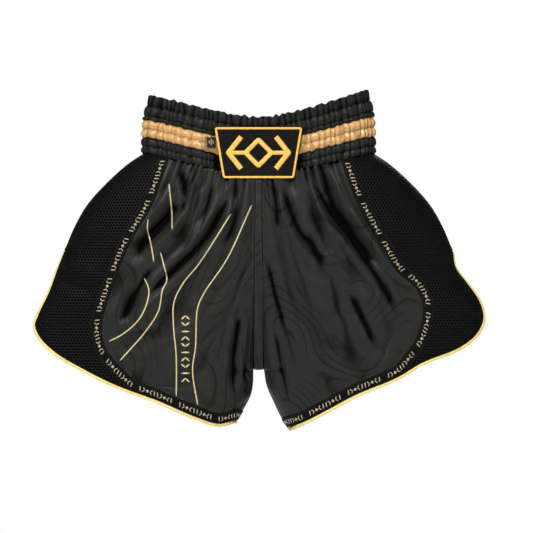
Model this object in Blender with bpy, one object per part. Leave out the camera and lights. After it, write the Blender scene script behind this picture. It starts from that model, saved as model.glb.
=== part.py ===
"""Boxing shorts in the Muay Thai cut, standing open as they are worn.

The origin is the middle of the waist opening, level with the waistband's upper corners at the
sides. +Z is up, the front faces -Y, and +X is the wearer's left. Every cloth piece is a thin
shell cut from one surface: depth() says how far that surface lies in front of, or behind, the
plane y = 0 for a place (x, z) in the front view. Distances are in millimetres until a mesh is
made.
"""

import math

import bmesh
import bpy
import numpy as np
from mathutils import Matrix, Vector

MM = 0.001

# Waistband. A level runs from 0 at its upper edge to -BAND_HEIGHT at its lower one.
BAND_HEIGHT = 79.0
STRIPE_TOP = -33.0
STRIPE_BOTTOM = -57.0
FRONT_DIP = 32.0  # how far the waistband dips at the centre, front and back
DIP_ROUNDING = 40.0
DIP_REACH = 150.0
DIP_FADE = (-380.0, -60.0)
BAND_EDGE = [(-79, 157), (-55, 157), (-30, 155), (0, 148)]  # (level, half width)
BAND_STATIONS = 36

# Depth of the opened shorts: (level, half depth), lowest first.
HALF_DEPTHS = [(-450, 44), (-330, 50), (-200, 54), (-79, 45), (0, 45)]
SIDE_POWER = 3.0  # of the superellipse, higher is squarer
INNER_ROUNDING = 60.0
CROTCH = -374.0
FORK_TOP = -150.0
FORK_POWER = 2.5
VENT_GAPE = 5.0  # the vent's edges draw apart by this much width in 100 mm

# Legs, as (distance from the centre, height) from the waistband down.
SIDE_EDGE = [(157, -79), (180, -94), (205, -116), (234, -148), (253, -181), (266, -213)]
LEGS = {
    "right": {
        "sign": -1,
        "hem": [(266, -213), (275, -235), (287, -267), (302, -298), (307, -314), (299, -332),
                (275, -354), (238, -375), (192, -397), (136, -418), (84, -440), (57, -448),
                (37, -444)],
        "tape": [(128, -99), (152, -151), (183, -205), (203, -256), (217, -300), (218, -328),
                 (208, -354)],
        "join": 150.0,
        "inseam": [(7.2, -374), (8, -392), (15, -414), (26, -432), (37, -444)],
    },
    "left": {
        "sign": 1,
        "hem": [(266, -213), (270, -234), (287, -257), (303, -280), (309, -304), (301, -324),
                (277, -344), (223, -366), (190, -385), (134, -409), (96, -428), (43, -453)],
        "tape": [(118, -97), (136, -136), (164, -190), (192, -235), (215, -254), (228, -277),
                 (229, -302), (219, -334)],
        "join": 165.0,
        "inseam": [(7.2, -374), (10, -395), (20, -418), (30, -438), (43, -453)],
    },
}
SIDE_STATIONS = 5  # panel rows from the waistband to the vent
VENT_STATIONS = 11  # from the vent to where the tape meets the hem
HEM_STATIONS = 5  # along the hem from there to the inseam
MESH_COLUMNS = 5
SATIN_COLUMNS = 10
SATIN_SPACING = 1.7  # the columns draw together towards the centre strip and the inseam
SATIN_TIP = 3.0  # width left at the satin panel's lower corner, by the inseam

# Thicknesses and widths of the trims.
CLOTH = 0.8
ELASTIC = 1.0
FACING = 0.6
LAYER_GAP = 0.4
TRIM_GAP = 1.0  # between the facing and what is fixed to it
SEAM_GAP = 0.4
BAND_GAP = 1.0
BINDING_WIDTH = 3.5
BINDING_THICKNESS = 2.2
TAPE_WIDTH = 13.6
STRIP_HALF_WIDTH = 6.8
FOLD_GAP = 0.4

# Waistband patch, a trapezoid, and what is sewn beside it.
PATCH_TOP = (-45.0, 59.5)  # (height, half width)
PATCH_BOTTOM = (-114.0, 48.0)
PATCH_BACK = -47.5
PATCH_THICKNESS = 1.4
BORDER_WIDTH = 3.0
RAISED = 0.8
TAB_SIZE = (11.0, 0.8, 14.0)
TAB_HINGE = (-58.4, -46.6, -65.0)

LEG_AXIS = (-46.0, -116.0)  # (y, z) of the line about which a leg swings forward


# ---------------------------------------------------------------- curves and the surface

def smooth(points, count):
    """count points, evenly spaced along a centripetal Catmull-Rom curve through the given ones."""
    given = np.array(points, float)
    padded = np.vstack([2 * given[0] - given[1], given, 2 * given[-1] - given[-2]])
    knots = np.concatenate([[0], np.cumsum(np.linalg.norm(np.diff(padded, axis=0), axis=1) ** 0.5)])
    curve = []
    for i in range(1, len(padded) - 2):
        t0, t1, t2, t3 = knots[i - 1:i + 3]
        t = np.linspace(t1, t2, 24, endpoint=i == len(padded) - 3)[:, None]
        p0, p1, p2, p3 = padded[i - 1:i + 3]
        a1 = ((t1 - t) * p0 + (t - t0) * p1) / (t1 - t0)
        a2 = ((t2 - t) * p1 + (t - t1) * p2) / (t2 - t1)
        a3 = ((t3 - t) * p2 + (t - t2) * p3) / (t3 - t2)
        b1 = ((t2 - t) * a1 + (t - t0) * a2) / (t2 - t0)
        b2 = ((t3 - t) * a2 + (t - t1) * a3) / (t3 - t1)
        curve.append(((t2 - t) * b1 + (t - t1) * b2) / (t2 - t1))
    return even(np.vstack(curve), count)


def lengths(curve):
    return np.concatenate([[0], np.cumsum(np.linalg.norm(np.diff(curve, axis=0), axis=1))])


def at(curve, distances):
    """The points at these distances along a curve."""
    along = lengths(curve)
    return np.stack([np.interp(distances, along, column) for column in curve.T], axis=-1)


def even(curve, count):
    return at(curve, np.linspace(0, lengths(curve)[-1], count))


def dip(x, z):
    """How far the waistband's rounded dip lowers the cloth at a place."""
    reach = np.hypot(DIP_REACH, DIP_ROUNDING) - DIP_ROUNDING
    across = 1 - (np.hypot(x, DIP_ROUNDING) - DIP_ROUNDING) / reach
    fade = np.clip((z - DIP_FADE[0]) / (DIP_FADE[1] - DIP_FADE[0]), 0, 1)
    return FRONT_DIP * np.clip(across, 0, 1) * fade * fade * (3 - 2 * fade)


def height(x, level):
    """The height of the cloth that lies this level below the waistband's upper edge."""
    z = np.asarray(level, float) + 0 * x
    for _ in range(12):
        z = level - dip(x, z)
    return z


def outer_edge(leg):
    """(levels, half widths) of the leg's outline in the front view, lowest first."""
    hem = smooth(leg["hem"], 200)
    vent = hem[: int(np.argmax(hem[:, 0])) + 1]
    corner = vent[-1]
    below = np.array([(corner[0] + 0.15 * drop, corner[1] - drop) for drop in (40, 80, 160)])
    edge = np.vstack([smooth(SIDE_EDGE, 60)[:-1], vent, below])
    band = np.array([(width, level) for level, width in BAND_EDGE[::-1]])
    edge = np.vstack([band[:-1], edge])
    gape = VENT_GAPE * (np.clip(vent[0, 1] - edge[:, 1], 0, None) / 100) ** 2
    return edge[::-1, 1], (edge[:, 0] + gape)[::-1]


def depth(leg, x, z):
    """Half the depth of the shorts at distance x from the centre and height z."""
    level = z + dip(x, z)
    middle = np.interp(level, *np.array(HALF_DEPTHS, float).T)
    width = np.interp(level, *leg["edge"])
    side = np.sqrt(np.clip(1 - np.clip(x / width, 0, 1) ** SIDE_POWER, 0, 1))
    sunk = np.clip((FORK_TOP - z) / (FORK_TOP - CROTCH), 0, 1)
    fork = np.sqrt(1 - sunk ** FORK_POWER)
    inner = np.interp(z, leg["inseam_line"][::-1, 1], leg["inseam_line"][::-1, 0])
    rise = np.clip((inner + INNER_ROUNDING - x) / INNER_ROUNDING, 0, 1)
    return middle * side * (fork + (1 - fork) * np.sqrt(1 - rise * rise))


def inset(leg, curve, distance):
    """The curve moved sideways over the surface by a distance, to the right of its direction."""
    along = np.gradient(curve, axis=0)
    along /= np.linalg.norm(along, axis=1)[:, None]
    right = np.stack([along[:, 1], -along[:, 0]], axis=1) * math.copysign(1, distance)
    start = depth(leg, curve[:, 0], curve[:, 1])
    low = np.zeros(len(curve))
    high = np.full(len(curve), abs(distance))
    for _ in range(30):
        mid = (low + high) / 2
        place = curve + right * mid[:, None]
        far = np.hypot(mid, depth(leg, place[:, 0], place[:, 1]) - start) > abs(distance)
        high = np.where(far, mid, high)
        low = np.where(far, low, mid)
    return curve + right * low[:, None]


def pulled(curve, start, end, reach=2):
    """The curve with its ends moved onto two points, and their neighbours part of the way."""
    moved = curve.copy()
    for index, target in ((0, start), (-1, end)):
        if target is None:
            continue
        shift = np.array(target) - curve[index]
        for step in range(reach):
            moved[step if index == 0 else -1 - step] += shift * (1 - step / reach) ** 2
    return moved


# ---------------------------------------------------------------- meshes

def material(name, colour, roughness, metallic=0.0):
    made = bpy.data.materials.new(name)
    made.use_nodes = True
    shader = made.node_tree.nodes["Principled BSDF"]
    shader.inputs["Base Color"].default_value = (*colour, 1)
    shader.inputs["Roughness"].default_value = roughness
    shader.inputs["Metallic"].default_value = metallic
    return made


def add_object(name, vertices, faces, finish, parent=None):
    """A mesh object, in metres, whose origin is its parent's place or the world's."""
    mesh = bpy.data.meshes.new(name)
    mesh.from_pydata([tuple(point) for point in np.asarray(vertices) * MM], [], faces)
    shape = bmesh.new()
    shape.from_mesh(mesh)
    bmesh.ops.recalc_face_normals(shape, faces=shape.faces)
    if parent:
        bmesh.ops.transform(shape, matrix=Matrix.Translation(-parent.location), verts=shape.verts)
    shape.to_mesh(mesh)
    shape.free()
    mesh.materials.append(finish)
    mesh.shade_smooth()
    mesh.set_sharp_from_angle(angle=math.radians(40))
    made = bpy.data.objects.new(name, mesh)
    made.parent = parent
    bpy.context.scene.collection.objects.link(made)
    return made


def joint_empty(name, place):
    made = bpy.data.objects.new(name, None)
    made.location = Vector(place) * MM
    bpy.context.scene.collection.objects.link(made)
    return made


def outward(grid, ring):
    """Unit normals of a grid of points, pointing away from the shorts' inside."""
    if ring:
        across = np.roll(grid, -1, axis=1) - np.roll(grid, 1, axis=1)
    else:
        across = np.gradient(grid, axis=1)
    normal = np.cross(across, np.gradient(grid, axis=0))
    normal /= np.linalg.norm(normal, axis=2)[:, :, None]
    away = (normal[:, :, 1] * grid[:, :, 1]).sum()
    return normal if away > 0 else -normal


def shell(name, grid, finish, lift=0.0, thickness=CLOTH, ring=False, parent=None, face=0):
    """A closed shell on a grid of surface points: lift is its outer face's height above them.

    face keeps a piece wholly in front of the side seams (-1) or behind them (1).
    """
    normal = outward(grid, ring)
    outer = grid + normal * lift
    inner = outer - normal * thickness
    rows, columns = grid.shape[:2]
    vertices = np.vstack([outer.reshape(-1, 3), inner.reshape(-1, 3)])
    if face:
        vertices[:, 1] = face * np.maximum(face * vertices[:, 1], FOLD_GAP / 2)
    size = rows * columns

    def corner(row, column, layer):
        return layer * size + row * columns + column % columns

    faces = []
    cells = columns if ring else columns - 1
    for layer in (0, 1):
        for row in range(rows - 1):
            for column in range(cells):
                # Both layers split each cell along the same diagonal, so they can't cross.
                a, b = corner(row, column, layer), corner(row, column + 1, layer)
                c, d = corner(row + 1, column + 1, layer), corner(row + 1, column, layer)
                faces += [[a, b, c], [a, c, d]]
    for row in (0, rows - 1):
        for column in range(cells):
            faces.append([corner(row, column, 0), corner(row, column + 1, 0),
                          corner(row, column + 1, 1), corner(row, column, 1)])
    if not ring:
        for column in (0, columns - 1):
            for row in range(rows - 1):
                faces.append([corner(row, column, 0), corner(row, column, 1),
                              corner(row + 1, column, 1), corner(row + 1, column, 0)])
    return add_object(name, vertices, faces, finish, parent)


def plate(name, outline, back, front, finish, hole=None, parent=None):
    """A flat plate with this (x, z) outline between two values of y, with a hole if given."""
    loops = [outline] if hole is None else [outline, hole]
    count = len(outline)
    vertices = [(x, y, z) for loop in loops for y in (back, front) for x, z in loop]
    faces = []
    for first in range(0, len(vertices), 2 * count):
        for i in range(count):
            j = (i + 1) % count
            faces.append([first + i, first + j, first + count + j, first + count + i])
    if hole is None:
        faces += [list(range(count)), list(range(count, 2 * count))]
    else:
        for start in (0, count):
            for i in range(count):
                j = (i + 1) % count
                faces.append([start + i, start + j, start + 2 * count + j, start + 2 * count + i])
    return add_object(name, vertices, faces, finish, parent)


# ---------------------------------------------------------------- the waistband

def band_grid(levels):
    """Rows of points round the waistband, one row for each level."""
    angles = np.arange(BAND_STATIONS) * 2 * math.pi / BAND_STATIONS
    rows = []
    for level in levels:
        half_width = np.interp(level, *np.array(BAND_EDGE, float).T)
        half_depth = np.interp(level, *np.array(HALF_DEPTHS, float).T)
        x = half_width * np.sin(angles)
        y = half_depth * np.sqrt(1 - np.abs(np.sin(angles)) ** SIDE_POWER)
        rows.append(np.stack([x, -y * np.sign(np.cos(angles)), height(x, level)], axis=1))
    return np.array(rows)


def add_waistband():
    black = material("waistband_satin", (0.012, 0.012, 0.013), 0.5)
    gold = material("stripe_satin", (0.72, 0.40, 0.12), 0.38)
    rubber = material("elastic_webbing", (0.55, 0.54, 0.5), 0.8)
    lining = material("facing_cloth", (0.015, 0.015, 0.016), 0.75)
    half = SEAM_GAP / 2
    casings = (("waistband_top", 0.0, STRIPE_TOP + half, black),
               ("waistband_stripe", STRIPE_TOP - half, STRIPE_BOTTOM + half, gold),
               ("waistband_bottom", STRIPE_BOTTOM - half, -BAND_HEIGHT, black))
    for name, upper, lower, finish in casings:
        shell(name, band_grid((upper, lower)), finish, ring=True)
    elastics = ((-2, -16), (-18, -32), (-35, -55), (-59, -77))
    for number, levels in enumerate(elastics, 1):
        shell(f"elastic_{number}", band_grid(levels), rubber, lift=-CLOTH - LAYER_GAP,
              thickness=ELASTIC, ring=True)
    facing_lift = -CLOTH - ELASTIC - 2 * LAYER_GAP
    shell("waistband_facing", band_grid((-0.5, -BAND_HEIGHT + 0.5)), lining, lift=facing_lift,
          thickness=FACING, ring=True)
    return HALF_DEPTHS[-1][1] + facing_lift - FACING


def add_inner_trims(inside):
    """The care label at the back and the two drawstring outlets at the front, all inside."""
    label = material("label_weave", (0.7, 0.7, 0.68), 0.7)
    brass = material("eyelet_brass", (0.6, 0.42, 0.15), 0.3, 1.0)
    label_box = [(-20, -40), (20, -40), (20, -64), (-20, -64)]
    plate("care_label", label_box, inside - TRIM_GAP, inside - TRIM_GAP - 0.5, label)
    for name, x in (("eyelet_right", -24), ("eyelet_left", 24)):
        loops = []
        for radius in (5.0, 2.4):
            turn = [i * math.pi / 8 for i in range(16)]
            loops.append([(x + radius * math.cos(a), -72 + radius * math.sin(a)) for a in turn])
        plate(name, loops[0], TRIM_GAP - inside, TRIM_GAP - inside + 1.0, brass, hole=loops[1])


# ---------------------------------------------------------------- the patch

def patch_outline(margin):
    """The patch's outline, moved in by a margin."""
    (top, wide), (bottom, narrow) = PATCH_TOP, PATCH_BOTTOM
    taper = (wide - narrow) / (top - bottom)
    slant = margin * math.hypot(1, taper)
    upper = wide - slant - margin * taper
    lower = narrow - slant + margin * taper
    return [(-upper, top - margin), (upper, top - margin), (lower, bottom + margin),
            (-lower, bottom + margin)]


def add_emblem(middle, back, front, finish):
    """A diamond between two chevrons on a bar, united into one raised piece."""
    bar = [(-41, middle + 3), (41, middle + 3), (41, middle - 3), (-41, middle - 3)]
    emblem = plate("patch_emblem", bar, back, front, finish)
    diamond, hollow = ([(0, middle + r), (r, middle), (0, middle - r), (-r, middle)]
                       for r in (22, 13))
    pieces = [plate("emblem_diamond", diamond, back, front, finish, hole=hollow)]
    for side in (-1, 1):
        chevron = [(side * x, middle + z) for x, z in
                   ((18, 22), (28, 22), (46, 0), (28, -22), (18, -22), (36, 0))]
        pieces.append(plate(f"emblem_chevron_{'r' if side < 0 else 'l'}", chevron, back, front,
                            finish))
    for piece in pieces:
        piece.hide_render = True
        piece.display_type = "WIRE"
        union = emblem.modifiers.new(piece.name, "BOOLEAN")
        union.operation = "UNION"
        union.object = piece


def add_patch():
    base_cloth = material("patch_cloth", (0.006, 0.006, 0.006), 0.6)
    thread = material("patch_thread", (0.80, 0.49, 0.05), 0.45)
    tab_cloth = material("tab_weave", (0.008, 0.008, 0.008), 0.6)
    front = PATCH_BACK - PATCH_THICKNESS
    plate("patch_base", patch_outline(0), PATCH_BACK, front, base_cloth)
    raised = (front - LAYER_GAP, front - LAYER_GAP - RAISED)
    plate("patch_border", patch_outline(0), *raised, thread, hole=patch_outline(BORDER_WIDTH))
    add_emblem((PATCH_TOP[0] + PATCH_BOTTOM[0]) / 2, *raised, thread)
    hinge = joint_empty("size_tab_flip", TAB_HINGE)
    x, y, z = TAB_HINGE
    width, thickness, tall = TAB_SIZE
    tab = [(x - width, z + tall / 2), (x, z + tall / 2), (x, z - tall / 2),
           (x - width, z - tall / 2)]
    plate("size_tab", tab, y + thickness / 2, y - thickness / 2, tab_cloth, parent=hinge)


# ---------------------------------------------------------------- the legs

def leg_lines(leg):
    """The lines that the leg's pieces share, all sampled at the same stations."""
    hem = smooth(leg["hem"], 400)
    total = lengths(hem)[-1]
    side = even(smooth(SIDE_EDGE, 60), SIDE_STATIONS + 1)
    side[0] = (BAND_EDGE[0][1], -BAND_HEIGHT - BAND_GAP)
    vent = at(hem, np.linspace(0, total - leg["join"], VENT_STATIONS + 1))
    along_hem = at(hem, np.linspace(total - leg["join"], total, HEM_STATIONS + 1))
    tip = SIDE_STATIONS + VENT_STATIONS
    edge = np.vstack([side[:-1], vent[:-1], along_hem])

    inseam = leg["inseam_line"]
    reach = lengths(inseam)[-1]
    trim = BINDING_WIDTH + SEAM_GAP + TAPE_WIDTH / 2

    def on_inseam(distance):
        return at(inseam, reach - distance)

    low = inset(leg, along_hem, trim)
    low[-1] = on_inseam(trim)
    high = np.array(leg["tape"], float)
    high[0, 1] = height(high[0, 0], -BAND_HEIGHT - BAND_GAP)
    upper = smooth(np.vstack([high, low[:2]]), 300)
    upper = upper[: int(np.argmin(np.linalg.norm(upper - low[0], axis=1))) + 1]
    middle = np.vstack([even(upper, tip + 1)[:-1], low])

    def tape_edge(distance):
        """A line beside the tape, whose ends lie on the waistband and on the inseam."""
        line = inset(leg, middle, distance)
        line[tip:] = inset(leg, along_hem, trim + distance)
        start = (line[0, 0], height(line[0, 0], -BAND_HEIGHT - BAND_GAP))
        return pulled(line, start, on_inseam(trim + distance))

    half = TAPE_WIDTH / 2
    return {
        "edge": edge,
        "tip": tip,
        "tape_outer": tape_edge(-half),
        "tape_inner": tape_edge(half),
        "satin": tape_edge(half + SEAM_GAP),
        "mesh_inner": tape_edge(-half - SEAM_GAP)[: tip + 1],
        "binding_outer": edge[SIDE_STATIONS:],
        "binding_inner": pulled(inset(leg, edge[SIDE_STATIONS:], BINDING_WIDTH), None,
                                on_inseam(BINDING_WIDTH)),
        "mesh_edge": inset(leg, edge[SIDE_STATIONS:tip + 1], BINDING_WIDTH + SEAM_GAP),
    }


def satin_grid(leg, lines):
    """Rows from the centre strip and the inseam out to the tape, which they follow round."""
    outer = lines["satin"]
    rows = len(outer)
    strip_x = STRIP_HALF_WIDTH + SEAM_GAP
    u = np.linspace(0, 1, SATIN_COLUMNS + 1) ** SATIN_SPACING
    top_x = strip_x + (outer[0, 0] - strip_x) * u
    top = np.stack([top_x, height(top_x, -BAND_HEIGHT - BAND_GAP)], axis=1)
    seam = np.array([(strip_x, z) for z in np.linspace(top[0, 1], CROTCH, 12)])
    inner = np.vstack([seam[:-1], leg["inseam_line"]])
    stop = lengths(inner)[-1] - (BINDING_WIDTH + 2 * SEAM_GAP + TAPE_WIDTH + SATIN_TIP)
    inner = at(inner, np.linspace(0, stop, rows))
    u = u[None, :, None]
    v = np.linspace(0, 1, rows)[:, None, None]
    ruled = (1 - u) * inner[:, None] + u * outer[:, None]
    bow = top[None] - (1 - u) * top[0] - u * top[-1]
    return ruled + bow * (1 - v) ** 2


def mesh_grid(lines):
    """Rows from the tape out to the side seam and the vent, closer together near the fold."""
    outer = np.vstack([lines["edge"][:SIDE_STATIONS], lines["mesh_edge"]])
    inner = lines["mesh_inner"]
    steps = np.sin(np.linspace(0, math.pi / 2, MESH_COLUMNS + 1))[None, :, None]
    return inner[:, None] * (1 - steps) + outer[:, None] * steps


def lifted(leg, flat, face):
    """The surface points of a grid of (x, z) places, on the front (-1) or the back (1)."""
    x, z = flat[..., 0], flat[..., 1]
    away = np.maximum(depth(leg, x, z), FOLD_GAP)
    return np.stack([leg["sign"] * x, face * away, z], axis=-1)


def add_leg(side, finishes):
    leg = LEGS[side]
    leg["inseam_line"] = smooth(leg["inseam"], 40)
    leg["edge"] = outer_edge(leg)
    lines = leg_lines(leg)
    hip = joint_empty(f"{side}_leg_swing", (leg["sign"] * 150, *LEG_AXIS))
    tape = np.stack([lines["tape_inner"], lines["tape_outer"]], axis=1)
    binding = np.stack([lines["binding_inner"], lines["binding_outer"]], axis=1)
    flats = (("panel", satin_grid(leg, lines), "satin", 0.0, CLOTH),
             ("mesh", mesh_grid(lines), "air_mesh", 0.0, CLOTH),
             ("tape", tape, "tape", 0.2, 1.0),
             ("binding", binding, "binding", 0.7, BINDING_THICKNESS))
    for face, word in ((-1, "front"), (1, "back")):
        for piece, flat, finish, lift, thickness in flats:
            shell(f"{side}_{word}_{piece}", lifted(leg, flat, face), finishes[finish], lift=lift,
                  thickness=thickness, parent=hip, face=face)
    add_bartack(side, leg, finishes["binding"], hip)


def add_bartack(side, leg, finish, hip):
    """The bar of stitches that closes the side seam just above the vent."""
    grid = []
    for z in (-203.0, -210.5):
        x = np.interp(z, *leg["edge"])
        grid.append([(leg["sign"] * x, y, z) for y in (-3.0, 3.0)])
    normal = Vector((leg["sign"] * 8, 0, 3)).normalized()
    away = np.array(normal)
    near = np.array(grid).reshape(-1, 3) + away * 0.5
    far = near + away * 1.2
    faces = [[0, 1, 3, 2], [4, 5, 7, 6], [0, 1, 5, 4], [2, 3, 7, 6], [0, 2, 6, 4], [1, 3, 7, 5]]
    add_object(f"{side}_vent_bartack", np.vstack([near, far]), faces, finish, hip)


def add_centre_strip(finish):
    """The strip that runs from the waistband down the front, through the fork and up the back."""
    leg = LEGS["right"]
    start = height(0.0, -BAND_HEIGHT - BAND_GAP)
    turns = np.linspace(0, math.pi / 2, 12)
    heights = start + (CROTCH - start) * np.sin(turns) ** 1.2
    away = depth(leg, 0.0 * heights, heights)
    away[-1] = 0
    y = np.concatenate([-away, away[-2::-1]])
    z = np.concatenate([heights, heights[-2::-1]])
    grid = np.array([[(x, y[i], z[i]) for x in (-STRIP_HALF_WIDTH, STRIP_HALF_WIDTH)]
                     for i in range(len(y))])
    across = np.gradient(grid[:, 0], axis=0)
    normal = np.stack([0 * y, across[:, 2], -across[:, 1]], axis=1)
    normal /= np.linalg.norm(normal, axis=1)[:, None]
    count = len(y)
    outer = grid.reshape(-1, 3)
    inner = (grid + (normal * CLOTH)[:, None]).reshape(-1, 3)
    faces = []
    for i in range(count - 1):
        a, b, c, d = 2 * i, 2 * i + 1, 2 * i + 3, 2 * i + 2
        shift = 2 * count
        faces += [[a, b, c, d], [a + shift, d + shift, c + shift, b + shift]]
        faces += [[a, d, d + shift, a + shift], [b, b + shift, c + shift, c]]
    for i in (0, 2 * count - 2):
        faces.append([i, i + 1, i + 1 + 2 * count, i + 2 * count])
    add_object("centre_strip", np.vstack([outer, inner]), faces, finish)


def main():
    for old in list(bpy.data.objects):
        bpy.data.objects.remove(old)
    finishes = {
        "satin": material("panel_satin", (0.03, 0.03, 0.032), 0.42),
        "air_mesh": material("air_mesh", (0.008, 0.008, 0.009), 0.7),
        "tape": material("woven_tape", (0.006, 0.006, 0.006), 0.65),
        "binding": material("gold_binding", (0.75, 0.52, 0.12), 0.4),
    }
    inside = add_waistband()
    add_inner_trims(inside)
    add_patch()
    for side in LEGS:
        add_leg(side, finishes)
    add_centre_strip(finishes["satin"])


main()
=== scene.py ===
"""The looks of the boxing shorts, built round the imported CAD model.

The cloth follows the surface that the CAD shells were cut from: depth() gives its distance from
the plane y = 0 at a place (x, z) of the front view. Lengths are in millimetres until make_mesh()
turns them into metres. A "cut" UV map holds places on the cloth, in metres, for the weaves.
"""

import math

import bmesh
import bpy
import numpy as np
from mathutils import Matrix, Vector
from mathutils.bvhtree import BVHTree


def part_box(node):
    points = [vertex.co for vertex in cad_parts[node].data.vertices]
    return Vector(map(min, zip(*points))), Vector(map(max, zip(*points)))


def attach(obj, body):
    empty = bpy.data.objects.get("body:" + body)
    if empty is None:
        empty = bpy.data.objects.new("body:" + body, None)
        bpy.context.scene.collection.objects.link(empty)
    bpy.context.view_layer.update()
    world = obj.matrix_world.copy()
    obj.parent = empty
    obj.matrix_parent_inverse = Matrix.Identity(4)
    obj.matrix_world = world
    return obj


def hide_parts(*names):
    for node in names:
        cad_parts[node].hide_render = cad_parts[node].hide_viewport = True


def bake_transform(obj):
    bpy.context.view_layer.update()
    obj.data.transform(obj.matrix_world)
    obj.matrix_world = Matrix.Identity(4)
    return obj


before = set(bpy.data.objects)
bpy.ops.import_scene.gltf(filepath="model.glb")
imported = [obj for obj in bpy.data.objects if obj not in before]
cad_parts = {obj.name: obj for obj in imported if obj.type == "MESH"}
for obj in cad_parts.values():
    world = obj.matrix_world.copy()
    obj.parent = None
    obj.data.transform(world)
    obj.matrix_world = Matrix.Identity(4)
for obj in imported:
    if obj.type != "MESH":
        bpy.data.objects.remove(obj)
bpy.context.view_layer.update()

MM = 0.001

# The surface, with the same driving dimensions as the CAD model.
BAND_HEIGHT = 79.0
STRIPE_TOP = -33.0
STRIPE_BOTTOM = -57.0
FRONT_DIP = 32.0
DIP_ROUNDING = 40.0
DIP_REACH = 150.0
DIP_FADE = (-380.0, -60.0)
BAND_EDGE = [(-79, 157), (-55, 157), (-30, 155), (0, 148)]
HALF_DEPTHS = [(-450, 44), (-330, 50), (-200, 54), (-79, 45), (0, 45)]
SIDE_POWER = 3.0
INNER_ROUNDING = 60.0
CROTCH = -374.0
FORK_TOP = -150.0
FORK_POWER = 2.5
VENT_GAPE = 5.0
SIDE_EDGE = [(157, -79), (180, -94), (205, -116), (234, -148), (253, -181), (266, -213)]
LEGS = {
    "right": {
        "sign": -1,
        "hem": [(266, -213), (275, -235), (287, -267), (302, -298), (307, -314), (299, -332),
                (275, -354), (238, -375), (192, -397), (136, -418), (84, -440), (54, -449.5),
                (31, -446)],
        "tape": [(128, -99), (152, -151), (183, -205), (203, -256), (217, -300), (218, -328),
                 (208, -354)],
        "join": 150.0,
        "inseam": [(7.2, -374), (7.6, -392), (10, -407), (18, -424), (31, -446)],
    },
    "left": {
        "sign": 1,
        "hem": [(266, -213), (270, -234), (287, -257), (303, -280), (309, -304), (301, -324),
                (277, -344), (223, -366), (190, -385), (134, -409), (96, -429), (43, -457)],
        "tape": [(118, -97), (136, -136), (164, -190), (192, -235), (215, -254), (228, -277),
                 (229, -302), (219, -334)],
        "join": 165.0,
        "inseam": [(7.2, -374), (11, -396), (20, -417), (31, -440), (43, -457)],
    },
}
TRIM = 10.7  # from the hem to the middle of the tape that runs along it
TAPE_WIDTH = 14.6
CORNER_LIFT = 8.0  # the waistband's upper corner on the wearer's left stands this much higher

# Camera and light.
VIEW_CENTRE = (0.0108, -0.2329)  # (x, z) in the middle of the picture
VIEW_WIDTH = 0.7196
VIEW_DISTANCE = 3.0
FLOOR = -0.95
SKY = 0.11  # how brightly the white background lights the shorts


# ---------------------------------------------------------------- curves and the surface

def rounded_table(points, reach):
    """(places, values) of a straight-sided profile with its corners rounded over a reach."""
    places = np.linspace(points[0][0], points[-1][0], 240)
    given = np.array(points, float).T
    around = np.linspace(-reach, reach, 15)[:, None]
    return places, np.interp(places + around, *given).mean(axis=0)


DEPTH_TABLE = rounded_table(HALF_DEPTHS, 38.0)


def smooth(points, count):
    """count points, evenly spaced along a centripetal Catmull-Rom curve through the given ones."""
    given = np.array(points, float)
    padded = np.vstack([2 * given[0] - given[1], given, 2 * given[-1] - given[-2]])
    steps = np.linalg.norm(np.diff(padded, axis=0), axis=1)
    knots = np.concatenate([[0], np.cumsum(steps ** 0.5)])
    curve = []
    for i in range(1, len(padded) - 2):
        t0, t1, t2, t3 = knots[i - 1:i + 3]
        t = np.linspace(t1, t2, 24, endpoint=i == len(padded) - 3)[:, None]
        p0, p1, p2, p3 = padded[i - 1:i + 3]
        a1 = ((t1 - t) * p0 + (t - t0) * p1) / (t1 - t0)
        a2 = ((t2 - t) * p1 + (t - t1) * p2) / (t2 - t1)
        a3 = ((t3 - t) * p2 + (t - t2) * p3) / (t3 - t2)
        b1 = ((t2 - t) * a1 + (t - t0) * a2) / (t2 - t0)
        b2 = ((t3 - t) * a2 + (t - t1) * a3) / (t3 - t1)
        curve.append(((t2 - t) * b1 + (t - t1) * b2) / (t2 - t1))
    return even(np.vstack(curve), count)


def lengths(curve):
    return np.concatenate([[0], np.cumsum(np.linalg.norm(np.diff(curve, axis=0), axis=1))])


def between(distances, along, vectors):
    """Vectors given at distances along a curve, blended for other distances."""
    return np.stack([np.interp(distances, along, column) for column in vectors.T], axis=-1)


def at(curve, distances):
    """The points at these distances along a curve."""
    return between(distances, lengths(curve), curve)


def even(curve, count):
    return at(curve, np.linspace(0, lengths(curve)[-1], count))


def unit(vectors, least=0.0):
    """Vectors with the same directions and a length of one."""
    return vectors / (np.linalg.norm(vectors, axis=-1, keepdims=True) + least)


def right_of(along):
    """2-D directions turned a quarter to the right."""
    return np.stack([along[..., 1], -along[..., 0]], axis=-1)


def ease(t):
    """0 below 0, 1 above 1, and a smooth step between them."""
    t = np.clip(t, 0, 1)
    return t * t * (3 - 2 * t)


def dip(x, z):
    """How far the waistband's rounded dip lowers the cloth at a place."""
    reach = np.hypot(DIP_REACH, DIP_ROUNDING) - DIP_ROUNDING
    across = 1 - (np.hypot(x, DIP_ROUNDING) - DIP_ROUNDING) / reach
    fade = ease((z - DIP_FADE[0]) / (DIP_FADE[1] - DIP_FADE[0]))
    return FRONT_DIP * np.clip(across, 0, 1) * fade


def height(x, level):
    """The height of the cloth that lies this level below the waistband's upper edge."""
    z = np.asarray(level, float) + 0 * x
    for _ in range(12):
        z = level - dip(x, z)
    return z


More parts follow.
